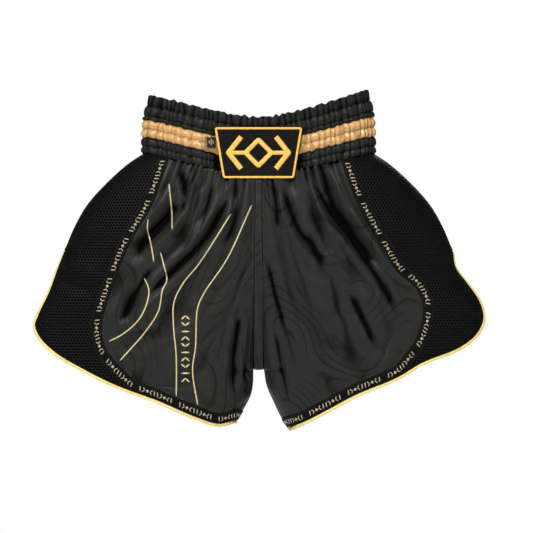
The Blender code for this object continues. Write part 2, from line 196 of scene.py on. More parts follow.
def outer_edge(leg):
    """(levels, half widths) of the leg's outline in the front view, lowest first."""
    vent = leg["hem_line"][: int(np.argmax(leg["hem_line"][:, 0])) + 1]
    corner = vent[-1]
    below = np.array([(corner[0] + 0.15 * drop, corner[1] - drop) for drop in (40, 80, 160)])
    band = np.array([(width, level) for level, width in BAND_EDGE[::-1]])
    edge = np.vstack([band[:-1], smooth(SIDE_EDGE, 120)[:-1], vent, below])
    gape = VENT_GAPE * (np.clip(vent[0, 1] - edge[:, 1], 0, None) / 100) ** 2
    return edge[::-1, 1], (edge[:, 0] + gape)[::-1]


def depth(leg, x, z):
    """Half the depth of the shorts at distance x from the centre and height z."""
    level = z + dip(x, z)
    middle = np.interp(level, *DEPTH_TABLE)
    width = np.interp(level, *leg["edge"])
    side = np.sqrt(np.clip(1 - np.clip(x / width, 0, 1) ** SIDE_POWER, 0, 1))
    sunk = np.clip((FORK_TOP - z) / (FORK_TOP - CROTCH), 0, 1)
    fork = np.sqrt(1 - sunk ** FORK_POWER)
    inner = np.interp(z, leg["inseam_line"][::-1, 1], leg["inseam_line"][::-1, 0])
    rise = np.clip((inner + INNER_ROUNDING - x) / INNER_ROUNDING, 0, 1)
    return middle * side * (fork + (1 - fork) * np.sqrt(1 - rise * rise))


def waves(leg, x, z, face):
    """The slow ripples that all the cloth of a leg shares, strongest near the hem."""
    low = ease((-150 - z) / 250)
    turn = 1.9 * face + leg["sign"]
    ripple = np.sin(x / 19.0 + z / 61.0 + turn) + 0.6 * np.sin(x / 31.0 - z / 37.0 + 2.1 * turn)
    return 2.2 * low * ripple


def surface(leg, x, z, face):
    """Points of the leg's cloth on the front (-1) or the back (1)."""
    away = depth(leg, x, z)
    away = away + waves(leg, x, z, face) * np.clip(away / 25, 0, 1)
    return np.stack([leg["sign"] * x, face * away, z], axis=-1)


def inset(leg, curve, distance):
    """The curve moved sideways over the surface by a distance, to the right of its direction."""
    right = right_of(unit(np.gradient(curve, axis=0))) * math.copysign(1, distance)
    start = depth(leg, curve[:, 0], curve[:, 1])
    low = np.zeros(len(curve))
    high = np.full(len(curve), abs(distance))
    for _ in range(30):
        mid = (low + high) / 2
        place = curve + right * mid[:, None]
        far = np.hypot(mid, depth(leg, place[:, 0], place[:, 1]) - start) > abs(distance)
        high = np.where(far, mid, high)
        low = np.where(far, low, mid)
    return curve + right * low[:, None]


def pulled(curve, start, end, reach):
    """The curve with its ends moved onto two points, and their neighbours part of the way."""
    moved = curve.copy()
    for index, target in ((0, start), (-1, end)):
        if target is None:
            continue
        shift = np.array(target) - curve[index]
        for step in range(reach):
            moved[step if index == 0 else -1 - step] += shift * (1 - step / reach) ** 2
    return moved


def tape_line(leg, distance, count=400):
    """A line beside the tape's middle, from the waistband to the inseam."""
    hem, inseam = leg["hem_line"], leg["inseam_line"]
    total = lengths(hem)[-1]
    along_hem = at(hem, np.linspace(total - leg["join"], total, 120))
    reach = lengths(inseam)[-1]
    low = inset(leg, along_hem, TRIM)
    low[-1] = at(inseam, reach - TRIM)
    high = np.array(leg["tape"], float)
    high[0, 1] = height(high[0, 0], -BAND_HEIGHT)
    upper = smooth(np.vstack([high, low[:30:8]]), 400)
    upper = upper[: int(np.argmin(np.linalg.norm(upper - low[0], axis=1))) + 1]
    line = np.vstack([inset(leg, upper, distance)[:-1] if distance else upper[:-1],
                      inset(leg, along_hem, TRIM + distance)])
    start = (line[0, 0], height(line[0, 0], -BAND_HEIGHT))
    line = pulled(line, start, at(inseam, reach - TRIM - distance), 20)
    return even(line, count)


def normals(grid, ring=False):
    """Unit normals of a grid of points, away from the shorts' inside."""
    if ring:
        across = np.roll(grid, -1, axis=1) - np.roll(grid, 1, axis=1)
    else:
        across = np.gradient(grid, axis=1)
    normal = unit(np.cross(across, np.gradient(grid, axis=0)), 1e-9)
    return normal if (normal[:, :, 1] * grid[:, :, 1]).sum() > 0 else -normal


def wander(along, around, scale, seed):
    """Smooth noise along a closed line of length around, from -1 to 1 or so."""
    draw = np.random.default_rng(seed)
    most = max(2, int(2 * around / scale))
    total = 0 * along
    for k in range(1, most + 1):
        size = math.exp(-0.5 * (k * scale / around - 1) ** 2 * 4) * draw.normal()
        total = total + size * np.sin(2 * math.pi * (k * along / around + draw.random()))
    return total / (np.abs(total).max() + 1e-9)


# ---------------------------------------------------------------- meshes

def hollows(grid, reaches=((26, 1.9), (90, 3.4))):
    """How deep each point of a grid lies in a narrow or a wide fold, from 0 to 1: how much painted
    shade it gets.
    """
    level = grid
    deepest = 0
    for step in range(1, reaches[-1][0] + 1):
        for axis in (0, 1):
            wide = np.pad(level, [(1, 1) if k == axis else (0, 0) for k in range(3)], mode="edge")
            before = wide[:-2] if axis == 0 else wide[:, :-2]
            after = wide[2:] if axis == 0 else wide[:, 2:]
            level = (before + level + after) / 3
        for reach, scale in reaches:
            if step == reach:
                deep = ((level - grid) * normals(grid)).sum(axis=2) / scale
                deepest = np.maximum(deepest, deep)
    return np.clip(deepest, 0, 1)


def placed(name, data):
    """A new object in the scene."""
    made = bpy.data.objects.new(name, data)
    bpy.context.scene.collection.objects.link(made)
    return made


def make_mesh(name, points, faces, finish, cut=None, turn_out=True, painted_shade=None):
    """A smooth mesh object from points in millimetres; cut holds a UV place for each point."""
    mesh = bpy.data.meshes.new(name)
    mesh.from_pydata((np.asarray(points, float).reshape(-1, 3) * MM).tolist(), [], faces)
    if turn_out:
        shape = bmesh.new()
        shape.from_mesh(mesh)
        bmesh.ops.recalc_face_normals(shape, faces=shape.faces)
        shape.to_mesh(mesh)
        shape.free()
    if cut is not None:
        layer = mesh.uv_layers.new(name="cut")
        corners = np.zeros(len(mesh.loops), np.int32)
        mesh.loops.foreach_get("vertex_index", corners)
        layer.data.foreach_set("uv", (np.asarray(cut).reshape(-1, 2)[corners] * MM).ravel())
    if painted_shade is not None:
        mesh.attributes.new("painted_shade", "FLOAT", "POINT").data.foreach_set("value", painted_shade)
    mesh.materials.append(finish)
    mesh.shade_smooth()
    return placed(name, mesh)


def cells(rows, columns, ring=False):
    """The quads of a grid of points."""
    r, c = np.meshgrid(np.arange(rows - 1), np.arange(columns if ring else columns - 1),
                       indexing="ij")
    d = (c + 1) % columns
    quads = [r * columns + c, r * columns + d, (r + 1) * columns + d, (r + 1) * columns + c]
    return np.stack(quads, axis=-1).reshape(-1, 4)


def rim(rows, columns, ring):
    """The edges round a grid of points, as pairs."""
    wrap = np.arange(columns if ring else columns - 1)
    pairs = []
    for row in (0, rows - 1):
        pairs.append(np.stack([row * columns + wrap, row * columns + (wrap + 1) % columns], 1))
    if not ring:
        down = np.arange(rows - 1) * columns
        for column in (0, columns - 1):
            pairs.append(np.stack([down + column, down + columns + column], 1))
    return np.vstack(pairs)


def sheet_mesh(name, grid, finish, cut=None, thickness=0.4, ring=False, painted_shade=None):
    """A thin closed sheet whose outer face lies on the grid."""
    rows, columns = grid.shape[:2]
    size = rows * columns
    inner = grid - normals(grid, ring) * thickness
    points = np.vstack([grid.reshape(-1, 3), inner.reshape(-1, 3)])
    faces = cells(rows, columns, ring)
    edge = rim(rows, columns, ring)
    walls = np.concatenate([edge, edge[:, ::-1] + size], axis=1)
    everything = np.vstack([faces, faces[:, ::-1] + size, walls]).tolist()
    if cut is not None:
        cut = np.vstack([np.asarray(cut).reshape(-1, 2)] * 2)
    if painted_shade is not None:
        painted_shade = np.tile(np.ravel(painted_shade), 2)
    return make_mesh(name, points, everything, finish, cut, painted_shade=painted_shade)


def tube_mesh(name, rings, finish, cut=None):
    """A closed tube through rings of points: an array of stations, points round and x, y, z."""
    stations, around = rings.shape[:2]
    size = stations * around
    points = np.vstack([rings.reshape(-1, 3), rings[0].mean(0), rings[-1].mean(0)])
    faces = cells(stations, around, ring=True).tolist()
    for i in range(around):
        j = (i + 1) % around
        faces += [[size, j, i], [size + 1, size - around + i, size - around + j]]
    if cut is not None:
        cut = np.vstack([cut.reshape(-1, 2), cut[0].mean(0), cut[-1].mean(0)])
    return make_mesh(name, points, faces, finish, cut)


def frames_along(line):
    """Unit directions along a 3-D line."""
    return unit(np.gradient(line, axis=0), 1e-9)


def stitch_mesh(name, runs, finish, stitch=2.3, gap=0.9, radius=0.28):
    """Rows of stitches: each run is a line of points and the cloth's normals there."""
    points, faces = [], []
    for line, away in runs:
        along = lengths(line)
        count = int(along[-1] / (stitch + gap))
        for k in range(count):
            places = np.array([0.0, 0.18, 0.82, 1.0]) * stitch + k * (stitch + gap)
            spine = at(line, places)
            up = unit(between(places, along, away))
            side = np.cross(frames_along(spine), up)
            lift = np.array([-0.5, 0.55, 0.55, -0.5]) * radius
            wide = np.array([0.35, 1, 1, 0.35]) * radius
            first = len(points)
            for i in range(4):
                for turn in range(5):
                    a = 2 * math.pi * turn / 5
                    points.append(spine[i] + up[i] * (lift[i] + wide[i] * math.sin(a))
                                  + side[i] * wide[i] * math.cos(a))
            for i in range(3):
                for turn in range(5):
                    a, b = first + 5 * i + turn, first + 5 * i + (turn + 1) % 5
                    faces.append([a, b, b + 5, a + 5])
            faces += [[first + t for t in range(5)], [first + 15 + t for t in range(5)][::-1]]
    return make_mesh(name, np.array(points), faces, finish)


# ---------------------------------------------------------------- materials

class Finish:
    """A node material under construction, with a Principled shader at its end."""

    def __init__(self, name, colour, roughness, **settings):
        self.material = bpy.data.materials.new(name)
        self.material.use_nodes = True
        self.tree = self.material.node_tree
        self.shader = self.tree.nodes["Principled BSDF"]
        self.shader.inputs["Base Color"].default_value = (*colour, 1)
        self.shader.inputs["Roughness"].default_value = roughness
        for key, value in settings.items():
            self.shader.inputs[key.replace("_", " ")].default_value = value
        self.place = None

    def node(self, kind, **settings):
        made = self.tree.nodes.new(kind)
        for key, value in settings.items():
            if hasattr(made, key):
                setattr(made, key, value)
            else:
                made.inputs[key.replace("_", " ")].default_value = value
        return made

    def link(self, output, socket):
        self.tree.links.new(output, socket)

    def cloth_place(self):
        """Places on the cloth, in metres."""
        if self.place is None:
            self.place = self.node("ShaderNodeUVMap", uv_map="cut").outputs[0]
        return self.place

    def solid_place(self):
        """Places in the row frame, in metres, for a piece that never bends."""
        if self.place is None:
            self.place = self.node("ShaderNodeTexCoord").outputs["Object"]
        return self.place

    def noise(self, scale, detail, roughness=0.5):
        made = self.node("ShaderNodeTexNoise", Scale=scale, Detail=detail, Roughness=roughness)
        self.link(self.place, made.inputs["Vector"])
        return made.outputs["Fac"]

    def grain(self, scale, detail, low=0.0, high=1.0):
        """Noise that runs from low to high."""
        return self.span(self.noise(scale, detail), 0.3, 0.7, low, high)

    def bands(self, scale, direction):
        made = self.node("ShaderNodeTexWave", Scale=scale, Distortion=0.0,
                         bands_direction=direction)
        self.link(self.place, made.inputs["Vector"])
        return made.outputs["Fac"]

    def math(self, operation, a, b=0.5, c=0.5):
        made = self.node("ShaderNodeMath", operation=operation)
        for socket, value in zip(made.inputs, (a, b, c)):
            if isinstance(value, (int, float)):
                socket.default_value = value
            else:
                self.link(value, socket)
        return made.outputs[0]

    def span(self, value, low, high, to_low, to_high):
        made = self.node("ShaderNodeMapRange")
        self.link(value, made.inputs["Value"])
        for key, number in (("From Min", low), ("From Max", high), ("To Min", to_low),
                            ("To Max", to_high)):
            made.inputs[key].default_value = number
        return made.outputs[0]

    def colour(self, amount, first, second, shaded=0.0):
        """Mixes two colours, then paints shade into folds: deep in a fold the share shaded of
        colour and gloss is lost.
        """
        made = self.node("ShaderNodeMix", data_type="RGBA")
        self.link(amount, made.inputs["Factor"])
        colours = [s for s in made.inputs if s.type == "RGBA"]
        colours[0].default_value = (*first, 1)
        colours[1].default_value = (*second, 1)
        result = [s for s in made.outputs if s.type == "RGBA"][0]
        if shaded:
            # painted shade: colour and specular level drop where a piece's per-point shade amount
            # is high, deep in folds and along seams
            painted_shade = self.node("ShaderNodeAttribute", attribute_name="painted_shade")
            dark = self.node("ShaderNodeMix", data_type="RGBA", blend_type="MULTIPLY")
            sockets = [s for s in dark.inputs if s.type == "RGBA"]
            deep = painted_shade.outputs["Fac"]
            self.link(self.span(deep, 0.0, 0.8, 0.0, shaded), dark.inputs["Factor"])
            gloss = self.shader.inputs["Specular IOR Level"]
            full = gloss.default_value
            self.link(self.span(deep, 0.0, 0.8, full, (1 - shaded) * full), gloss)
            self.link(result, sockets[0])
            sockets[1].default_value = (*SHADE, 1)
            result = [s for s in dark.outputs if s.type == "RGBA"][0]
        self.link(result, self.shader.inputs["Base Color"])

    def rough(self, value):
        self.link(value, self.shader.inputs["Roughness"])

    def bump(self, height, distance, strength=1.0):
        """Adds to the relief, by a distance in metres."""
        made = self.node("ShaderNodeBump", Distance=distance, Strength=strength)
        self.link(height, made.inputs["Height"])
        socket = self.shader.inputs["Normal"]
        if socket.links:
            self.link(socket.links[0].from_socket, made.inputs["Normal"])
        self.link(made.outputs[0], socket)


SHADE = (0.1, 0.07, 0.05)  # painted shade: the share of its colour that cloth keeps deep in a fold


def weave(finish, pitch, distance):
    """Warp and weft threads, pitch metres apart."""
    scale = 1 / (pitch * 20)
    warp, weft = finish.bands(scale * 2 * math.pi, "X"), finish.bands(scale * 2 * math.pi, "Y")
    finish.bump(finish.math("MULTIPLY", warp, weft), distance)


def satin_finish(name, dark, light, roughness, print_depth):
    made = Finish(name, light, roughness, Sheen_Weight=0.01, Sheen_Roughness=0.4,
                  Specular_IOR_Level=0.13)
    made.cloth_place()
    height = made.noise(6.0, 1.0, 0.4)
    lines = made.math("PINGPONG", made.math("MULTIPLY", height, 26.0), 0.5)
    line = made.span(lines, 0.02, 0.16, 1.0, 0.0)
    bunch = made.span(made.noise(14.0, 1.0), 0.44, 0.56, 0.0, 1.0)
    mark = made.math("MULTIPLY", line, bunch)
    shade = made.math("MULTIPLY_ADD", mark, print_depth, made.grain(55.0, 3.0, 0.0, 0.25))
    # painted shade deep in the satin's folds, on top of the print and the grain
    made.colour(shade, light, dark, shaded=0.95)
    uneven = made.grain(180.0, 2.0, roughness - 0.04, roughness + 0.05)
    made.rough(made.math("MULTIPLY_ADD", mark, 0.12, uneven))
    made.bump(made.noise(38.0, 3.0), 0.0004)
    weave(made, 0.0005, 0.00003)
    return made.material


def gathered_finish(name, dark, light, roughness, gloss=0.5, shaded=0.6):
    made = Finish(name, light, roughness, Sheen_Weight=0.015, Sheen_Roughness=0.4,
                  Specular_IOR_Level=gloss)
    made.cloth_place()
    # painted shade in the gathers' folds, by the share shaded; the binding gets none
    made.colour(made.grain(120.0, 3.0), dark, light, shaded)
    made.rough(made.grain(260.0, 2.0, roughness - 0.06, roughness + 0.06))
    made.bump(made.noise(150.0, 3.0), 0.0004)
    weave(made, 0.0005, 0.00004)
    return made.material


def thread_finish(name, dark, light, roughness):
    made = Finish(name, light, roughness, Sheen_Weight=0.08)
    made.solid_place()
    made.colour(made.grain(300.0, 3.0), dark, light)
    made.bump(made.noise(1800.0, 2.0), 0.00008)
    made.rough(made.grain(700.0, 2.0, roughness - 0.08, roughness + 0.08))
    return made.material


def woven_finish(name, dark, light, roughness, pitch=0.0008, distance=0.00012, cloth=True,
                 gloss=0.12):
    made = Finish(name, light, roughness, Sheen_Weight=0.02, Specular_IOR_Level=gloss)
    if cloth:
        made.cloth_place()
    else:
        made.solid_place()
    made.colour(made.grain(500.0, 3.0), dark, light)
    made.rough(made.grain(900.0, 2.0, roughness - 0.06, roughness + 0.06))
    weave(made, pitch, distance)
    return made.material


def brass_finish():
    made = Finish("eyelet_brass", (0.62, 0.42, 0.16), 0.3, Metallic=1.0)
    made.solid_place()
    made.colour(made.grain(500.0, 4.0), (0.5, 0.33, 0.12), (0.7, 0.5, 0.2))
    made.rough(made.grain(900.0, 3.0, 0.22, 0.42))
    made.bump(made.noise(2500.0, 2.0), 0.00002)
    return made.material


def make_finishes():
    return {
        "band": gathered_finish("waistband_satin", (0.0075, 0.0077, 0.0068),
                                (0.0160, 0.0164, 0.0142), 0.45, 0.14, 0.97),
        "stripe": gathered_finish("stripe_satin", (0.40, 0.205, 0.060), (0.60, 0.345, 0.120), 0.30,
                                  0.8),
        "facing": woven_finish("facing_cloth", (0.008, 0.008, 0.009), (0.018, 0.018, 0.019), 0.75),
        "elastic": woven_finish("elastic_webbing", (0.50, 0.49, 0.45), (0.62, 0.61, 0.57), 0.8,
                                0.0012, 0.0002, cloth=False),
        "label": woven_finish("label_weave", (0.62, 0.62, 0.60), (0.74, 0.74, 0.72), 0.6, 0.0006,
                              0.00006, cloth=False),
        "brass": brass_finish(),
        "patch": woven_finish("patch_cloth", (0.0035, 0.0033, 0.0030), (0.0085, 0.0080, 0.0070),
                              0.75, 0.0010, 0.00016, cloth=False, gloss=0.05),
        "thread": thread_finish("patch_thread", (0.58, 0.33, 0.045), (0.74, 0.46, 0.075), 0.45),
        "tab": woven_finish("tab_weave", (0.006, 0.006, 0.006), (0.014, 0.014, 0.014), 0.6, 0.0006,
                            0.00006, cloth=False),
        "satin": satin_finish("panel_satin", (0.0035, 0.0036, 0.0032), (0.0172, 0.0177, 0.0152),
                              0.44, 0.75),
        "mesh": woven_finish("air_mesh", (0.0012, 0.0012, 0.0011), (0.0030, 0.0030, 0.0027), 0.45,
                             0.0007, 0.00006, gloss=0.08),
        "lining": woven_finish("mesh_lining", (0.0008, 0.0008, 0.0008), (0.0015, 0.0015, 0.0015),
                               0.9, gloss=0.03),
        "tape": woven_finish("woven_tape", (0.0018, 0.0018, 0.0018), (0.0042, 0.0042, 0.0040),
                             0.75, gloss=0.05),
        "motif": thread_finish("tape_motif", (0.27, 0.225, 0.125), (0.40, 0.34, 0.20), 0.6),
        "print": thread_finish("gold_print", (0.42, 0.35, 0.17), (0.56, 0.48, 0.26), 0.45),
        "binding": gathered_finish("gold_binding", (0.62, 0.46, 0.10), (0.78, 0.60, 0.17), 0.40,
                                   shaded=0.0),
        "seam": thread_finish("seam_thread", (0.012, 0.012, 0.011), (0.034, 0.034, 0.030), 0.5),
        "stitch": thread_finish("black_thread", (0.002, 0.002, 0.002), (0.005, 0.005, 0.005), 0.6),
    }


# ---------------------------------------------------------------- the waistband

BAND_STATIONS = 960
PUCKER = 9.0  # from one pucker to the next
PUCKER_HEIGHT = 3.4
STITCH_ROWS = [2.0, -13.0, -27.0, -33.0, -45.0, -57.0, -68.0, -79.0]
PINCH = [1.1, 0.34, 0.4, 0.22, 0.42, 0.22, 0.4, 0.3]  # height left at each of those rows
CASING_LIFT = 0.5  # how far even the rows of stitches stand from the elastic
FULL_RELIEF = 3.4  # cloth that stands this far from the elastic gets none of the painted shade of the puckers' folds
CASING_PUFF = 1.7  # how far a channel swells between its rows of stitches


def band_ring(level):
    """(points, outward directions, distance round, total) of the waistband at a level."""
    a = np.linspace(0, 2 * math.pi, 6001)
    half_width = np.interp(level, *np.array(BAND_EDGE, float).T)
    half_depth = np.interp(level, *np.array(HALF_DEPTHS, float).T)
    x = half_width * np.sin(a)
    y = -half_depth * np.sqrt(1 - np.abs(np.sin(a)) ** SIDE_POWER) * np.sign(np.cos(a))
    line = np.stack([x, y], axis=1)
    total = lengths(line)[-1]
    around = np.arange(BAND_STATIONS) * total / BAND_STATIONS
    ring = at(line, around)
    along = np.roll(ring, -1, axis=0) - np.roll(ring, 1, axis=0)
    return ring, unit(right_of(along)), around, total


class Puckers:
    """The gathers round the waistband, the same for every piece of it."""

    def __init__(self):
        ring, out, around, total = band_ring(-40.0)
        self.total = total
        self.phase = math.pi * round(total / PUCKER) * around / total
        self.drift = 2.4 * wander(around, total, 70, 1) + 0.9 * wander(around, total, 22, 2)
        self.size = 0.8 + 0.4 * wander(around, total, 16, 4)
        self.rows = [0.75 * wander(around, total, 26, 30 + i) for i in range(len(STITCH_ROWS))]
        self.lifts = [(2.3 if i < 2 else 1.5) * wander(around, total, 13, 60 + i)
                      for i in range(len(STITCH_ROWS))]
        self.fine = [wander(around, total, 5, 90 + i) for i in range(len(STITCH_ROWS))]
        front = ring[:, 1] < 0
        self.behind_patch = 1 - 0.85 * ease((66 - np.abs(ring[:, 0])) / 8) * front
        self.patch_top = PATCH_TOP[0] + dip(ring[:, 0], PATCH_TOP[0])
        self.behind_tab = 0.8 * ease((ring[:, 0] + 76) / 5) * ease((-50 - ring[:, 0]) / 5) * front

    def between(self, level, values):
        """Values given at the rows of stitches, blended for a level."""
        rows = np.array(STITCH_ROWS)
        i = int(np.clip(np.searchsorted(-rows, -level, side="right") - 1, 0, len(rows) - 2))
        t = np.clip((rows[i] - level) / (rows[i] - rows[i + 1]), 0, 1)
        return i, t, values[i] * (1 - t) + values[i + 1] * t

    def height(self, level):
        """How far the cloth stands out from the ring at a level, in millimetres."""
        i, t, sway = self.between(level, self.rows)
        wave = np.abs(np.sin(self.phase + self.drift + sway))
        pinch = self.between(level, PINCH)[2]
        swell = math.sin(math.pi * t) ** 0.7 if 0 < t < 1 else 0.0
        if i == 0:
            swell *= 0.35
        full = pinch + (1 - pinch) * swell
        small = 0.16 * (1 - swell) * self.between(level, self.fine)[2]
        patch = 1 - (1 - self.behind_patch) * ease((self.patch_top - 1 - level) / 5)
        patch = patch * (1 - self.behind_tab * ease((-36 - level) / 4) * ease((level + 62) / 4))
        puff = CASING_PUFF * swell * (0.7 + 0.3 * wave)
        return patch * (puff + PUCKER_HEIGHT * (full * self.size * wave ** 0.7 + small))

    def lift(self, level):
        """How far the row of cloth at a level is pulled up or down."""
        return self.between(level, self.lifts)[2]


def corner_lift(x, level):
    return CORNER_LIFT * np.clip(x / 150, 0, None) ** 2 * ease((level + 70) / 70)


def band_row(puckers, level, out_by, raised=0.0):
    """(points, cut, painted shade) of one row of the waistband that stands out_by from the ring.
    """
    ring, out, around, total = band_ring(level)
    place = ring + out * np.asarray(out_by + 0 * around)[:, None]
    z = height(ring[:, 0], level) + puckers.lift(level) + corner_lift(ring[:, 0], level) + raised
    # painted shade, strongest where the cloth lies close to the elastic between puckers
    painted_shade = ease(1 - np.abs(out_by) / FULL_RELIEF) + 0 * around
    cut = np.column_stack([around * 1.35, level + 0 * around])
    return np.column_stack([place, z]), cut, painted_shade


def band_piece(name, rows, finish, thickness=0.45):
    points = np.array([row[0] for row in rows])
    cut = np.array([row[1] for row in rows])
    painted_shade = np.array([row[2] for row in rows])
    return sheet_mesh(name, points, finish, cut, thickness, ring=True, painted_shade=painted_shade)


def make_waistband(finishes):
    puckers = Puckers()

    def outer(level):
        return band_row(puckers, level, CASING_LIFT + puckers.height(level))

    def inner_offset(level):
        swell = abs(math.sin(math.pi * puckers.between(level, PINCH)[1]))
        wave = np.abs(np.cos(puckers.phase + puckers.drift)) ** 0.8
        calm = 0.35 if level < -35 else 1.0
        return -2.75 - 0.9 * wave * (0.35 + 0.65 * swell) * calm

    ruffle = [outer(level) for level in np.arange(STRIPE_TOP, 0.5, 1.0)]
    top_height = CASING_LIFT + puckers.height(0.0)
    inside = inner_offset(-1.0)
    for turn in np.linspace(0, math.pi, 8)[1:]:
        share = (1 - math.cos(turn)) / 2
        offset = top_height * (1 - share) + inside * share
        ruffle.append(band_row(puckers, 0.0, offset, 1.4 * math.sin(turn)))
    ruffle += [band_row(puckers, level, inner_offset(level)) for level in (-1.0, -2.0, -3.0)]
    top = band_piece("gathered_top", ruffle, finishes["band"])
    stripe_levels = np.linspace(STRIPE_BOTTOM, STRIPE_TOP, 25)
    stripe = band_piece("gathered_stripe", [outer(v) for v in stripe_levels], finishes["stripe"])
    bottom_levels = np.linspace(-BAND_HEIGHT, STRIPE_BOTTOM, 23)
    rows = [band_row(puckers, -BAND_HEIGHT, 0.3 + 0 * puckers.size, -1.2)]
    rows += [outer(level) for level in bottom_levels]
    bottom = band_piece("gathered_bottom", rows, finishes["band"])
    facing_levels = np.linspace(-BAND_HEIGHT + 0.5, -3.0, 39)
    facing = band_piece("gathered_facing",
                        [band_row(puckers, v, inner_offset(v)) for v in facing_levels],
                        finishes["facing"], thickness=0.4)
    for piece, node, slot, tall in ((top, "waistband_top", "waistband_satin", 42),
                                    (stripe, "waistband_stripe", "stripe_satin", 26),
                                    (bottom, "waistband_bottom", "waistband_satin", 25),
                                    (facing, "waistband_facing", "facing_cloth", 79)):
        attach(piece, "waist")
        dress(piece, node)


# ---------------------------------------------------------------- the patch and the inner trims

PATCH_TOP = (-45.0, 59.5)
PATCH_BOTTOM = (-114.0, 48.0)
PATCH_BACK = -47.5
PATCH_FRONT = -48.9
PATCH_RIM = 0.3  # base cloth outside the border; the size tab flips clear of it
RIB = 0.55  # from one thread of the embroidery to the next


def patch_outline(margin):
    (top, wide), (bottom, narrow) = PATCH_TOP, PATCH_BOTTOM
    taper = (wide - narrow) / (top - bottom)
    slant = margin * math.hypot(1, taper)
    upper = wide - slant - margin * taper
    lower = narrow - slant + margin * taper
    return np.array([(-upper, top - margin), (upper, top - margin), (lower, bottom + margin),
                     (-lower, bottom + margin)])


def rounded(outline, radius, count=6):
    """A closed outline with its corners rounded."""
    points = []
    for i in range(len(outline)):
        before, corner, after = outline[i - 1], outline[i], outline[(i + 1) % len(outline)]
        first = corner + (before - corner) / np.linalg.norm(before - corner) * radius
        last = corner + (after - corner) / np.linalg.norm(after - corner) * radius
        t = np.linspace(0, 1, count)[:, None]
        points.append((1 - t) ** 2 * first + 2 * t * (1 - t) * corner + t * t * last)
    return np.vstack(points)


def satin_stitch(name, path, width, base_y, height_mm, finish, closed=False):
    """A raised band of threads laid side by side across a path on the front of the patch."""
    path = np.asarray(path, float)
    if closed:
        path = np.vstack([path, path[:1]])
    count = int(lengths(path)[-1] / (RIB / 3))
    spine = even(path, count + 1)
    if closed:
        spine = spine[:-1]
        along = np.roll(spine, -3, axis=0) - np.roll(spine, 3, axis=0)
    else:
        along = np.gradient(spine, axis=0)
    side = right_of(unit(along))
    rib = 0.5 + 0.5 * np.cos(np.arange(len(spine)) * 2 * math.pi / 3)
    across = np.linspace(-1, 1, 9)
    profile = np.sqrt(np.clip(1 - np.abs(across) ** 3.2, 0, 1))
    rings = []
    for i in range(len(spine)):
        half = width / 2 + 0.10 * (rib[i] - 0.5)
        x_z = spine[i] + side[i] * across[:, None] * half
        y = base_y - profile * (height_mm - 0.16 * (1 - rib[i]))
        top = np.column_stack([x_z[:, 0], y, x_z[:, 1]])
        under = np.column_stack([x_z[::-2, 0], 0 * across[::-2] + base_y + 0.15, x_z[::-2, 1]])
        rings.append(np.vstack([top, under]))
    rings = np.array(rings)
    if not closed:
        return tube_mesh(name, rings, finish)
    stations, around = rings.shape[:2]
    quads = []
    for i in range(stations):
        for j in range(around):
            k, m = (i + 1) % stations, (j + 1) % around
            quads.append([i * around + j, i * around + m, k * around + m, k * around + j])
    return make_mesh(name, rings.reshape(-1, 3), quads, finish)


def join(name, pieces):
    """One object from several that share a material."""
    bpy.ops.object.select_all(action="DESELECT")
    for piece in pieces:
        piece.select_set(True)
    bpy.context.view_layer.objects.active = pieces[0]
    bpy.ops.object.join()
    pieces[0].name = name
    return pieces[0]


def make_patch(finishes):
    outline = rounded(patch_outline(-PATCH_RIM), 2.0)
    middle = outline.mean(0)
    rings = [np.column_stack([outline[:, 0], 0 * outline[:, 0] + PATCH_BACK, outline[:, 1]])]
    for inward, y in ((0.0, PATCH_FRONT + 0.5), (0.25, PATCH_FRONT + 0.12), (0.8, PATCH_FRONT)):
        ring = rounded(patch_outline(inward - PATCH_RIM), 2.0)
        rings.append(np.column_stack([ring[:, 0], 0 * ring[:, 0] + y, ring[:, 1]]))
    for t in np.linspace(0, 1, 24)[1:]:
        ring = rings[3][:, [0, 2]] * (1 - t * 0.98) + middle * t * 0.98
        rings.append(np.column_stack([ring[:, 0], 0 * ring[:, 0] + PATCH_FRONT, ring[:, 1]]))
    base = tube_mesh("patch_twill", np.array(rings), finishes["patch"])
    dress(base, "patch_base")
    raised = (PATCH_FRONT - 0.05, 1.1)
    border_path = rounded(patch_outline(1.6), 2.2, 14)
    border = satin_stitch("embroidered_border", border_path, 3.1, *raised, finishes["thread"],
                          closed=True)
    dress(border, "patch_border")
    z = (PATCH_TOP[0] + PATCH_BOTTOM[0]) / 2
    half = 17.5
    diamond = np.array([(0, z + half), (half, z), (0, z - half), (-half, z)])
    strokes = [satin_stitch("emblem_diamond", rounded(diamond, 1.5, 8), 6.2, *raised,
                            finishes["thread"], closed=True)]
    for side in (-1, 1):
        arm = [(side * 23.5, z + 21.5), (side * 40.5, z), (side * 23.5, z - 21.5)]
        strokes.append(satin_stitch(f"emblem_chevron_{side + 1}", arm, 7.0, *raised,
                                    finishes["thread"]))
        bar = [(side * 12.5, z), (side * 38.0, z)]
        strokes.append(satin_stitch(f"emblem_bar_{side + 1}", bar, 5.6, raised[0] + 0.1, 1.0,
                                    finishes["thread"]))
    emblem = join("embroidered_emblem", strokes)
    dress(emblem, "patch_emblem")
    for piece in (base, border, emblem):
        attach(piece, "waist")


TAB_WIDTH = 11.0


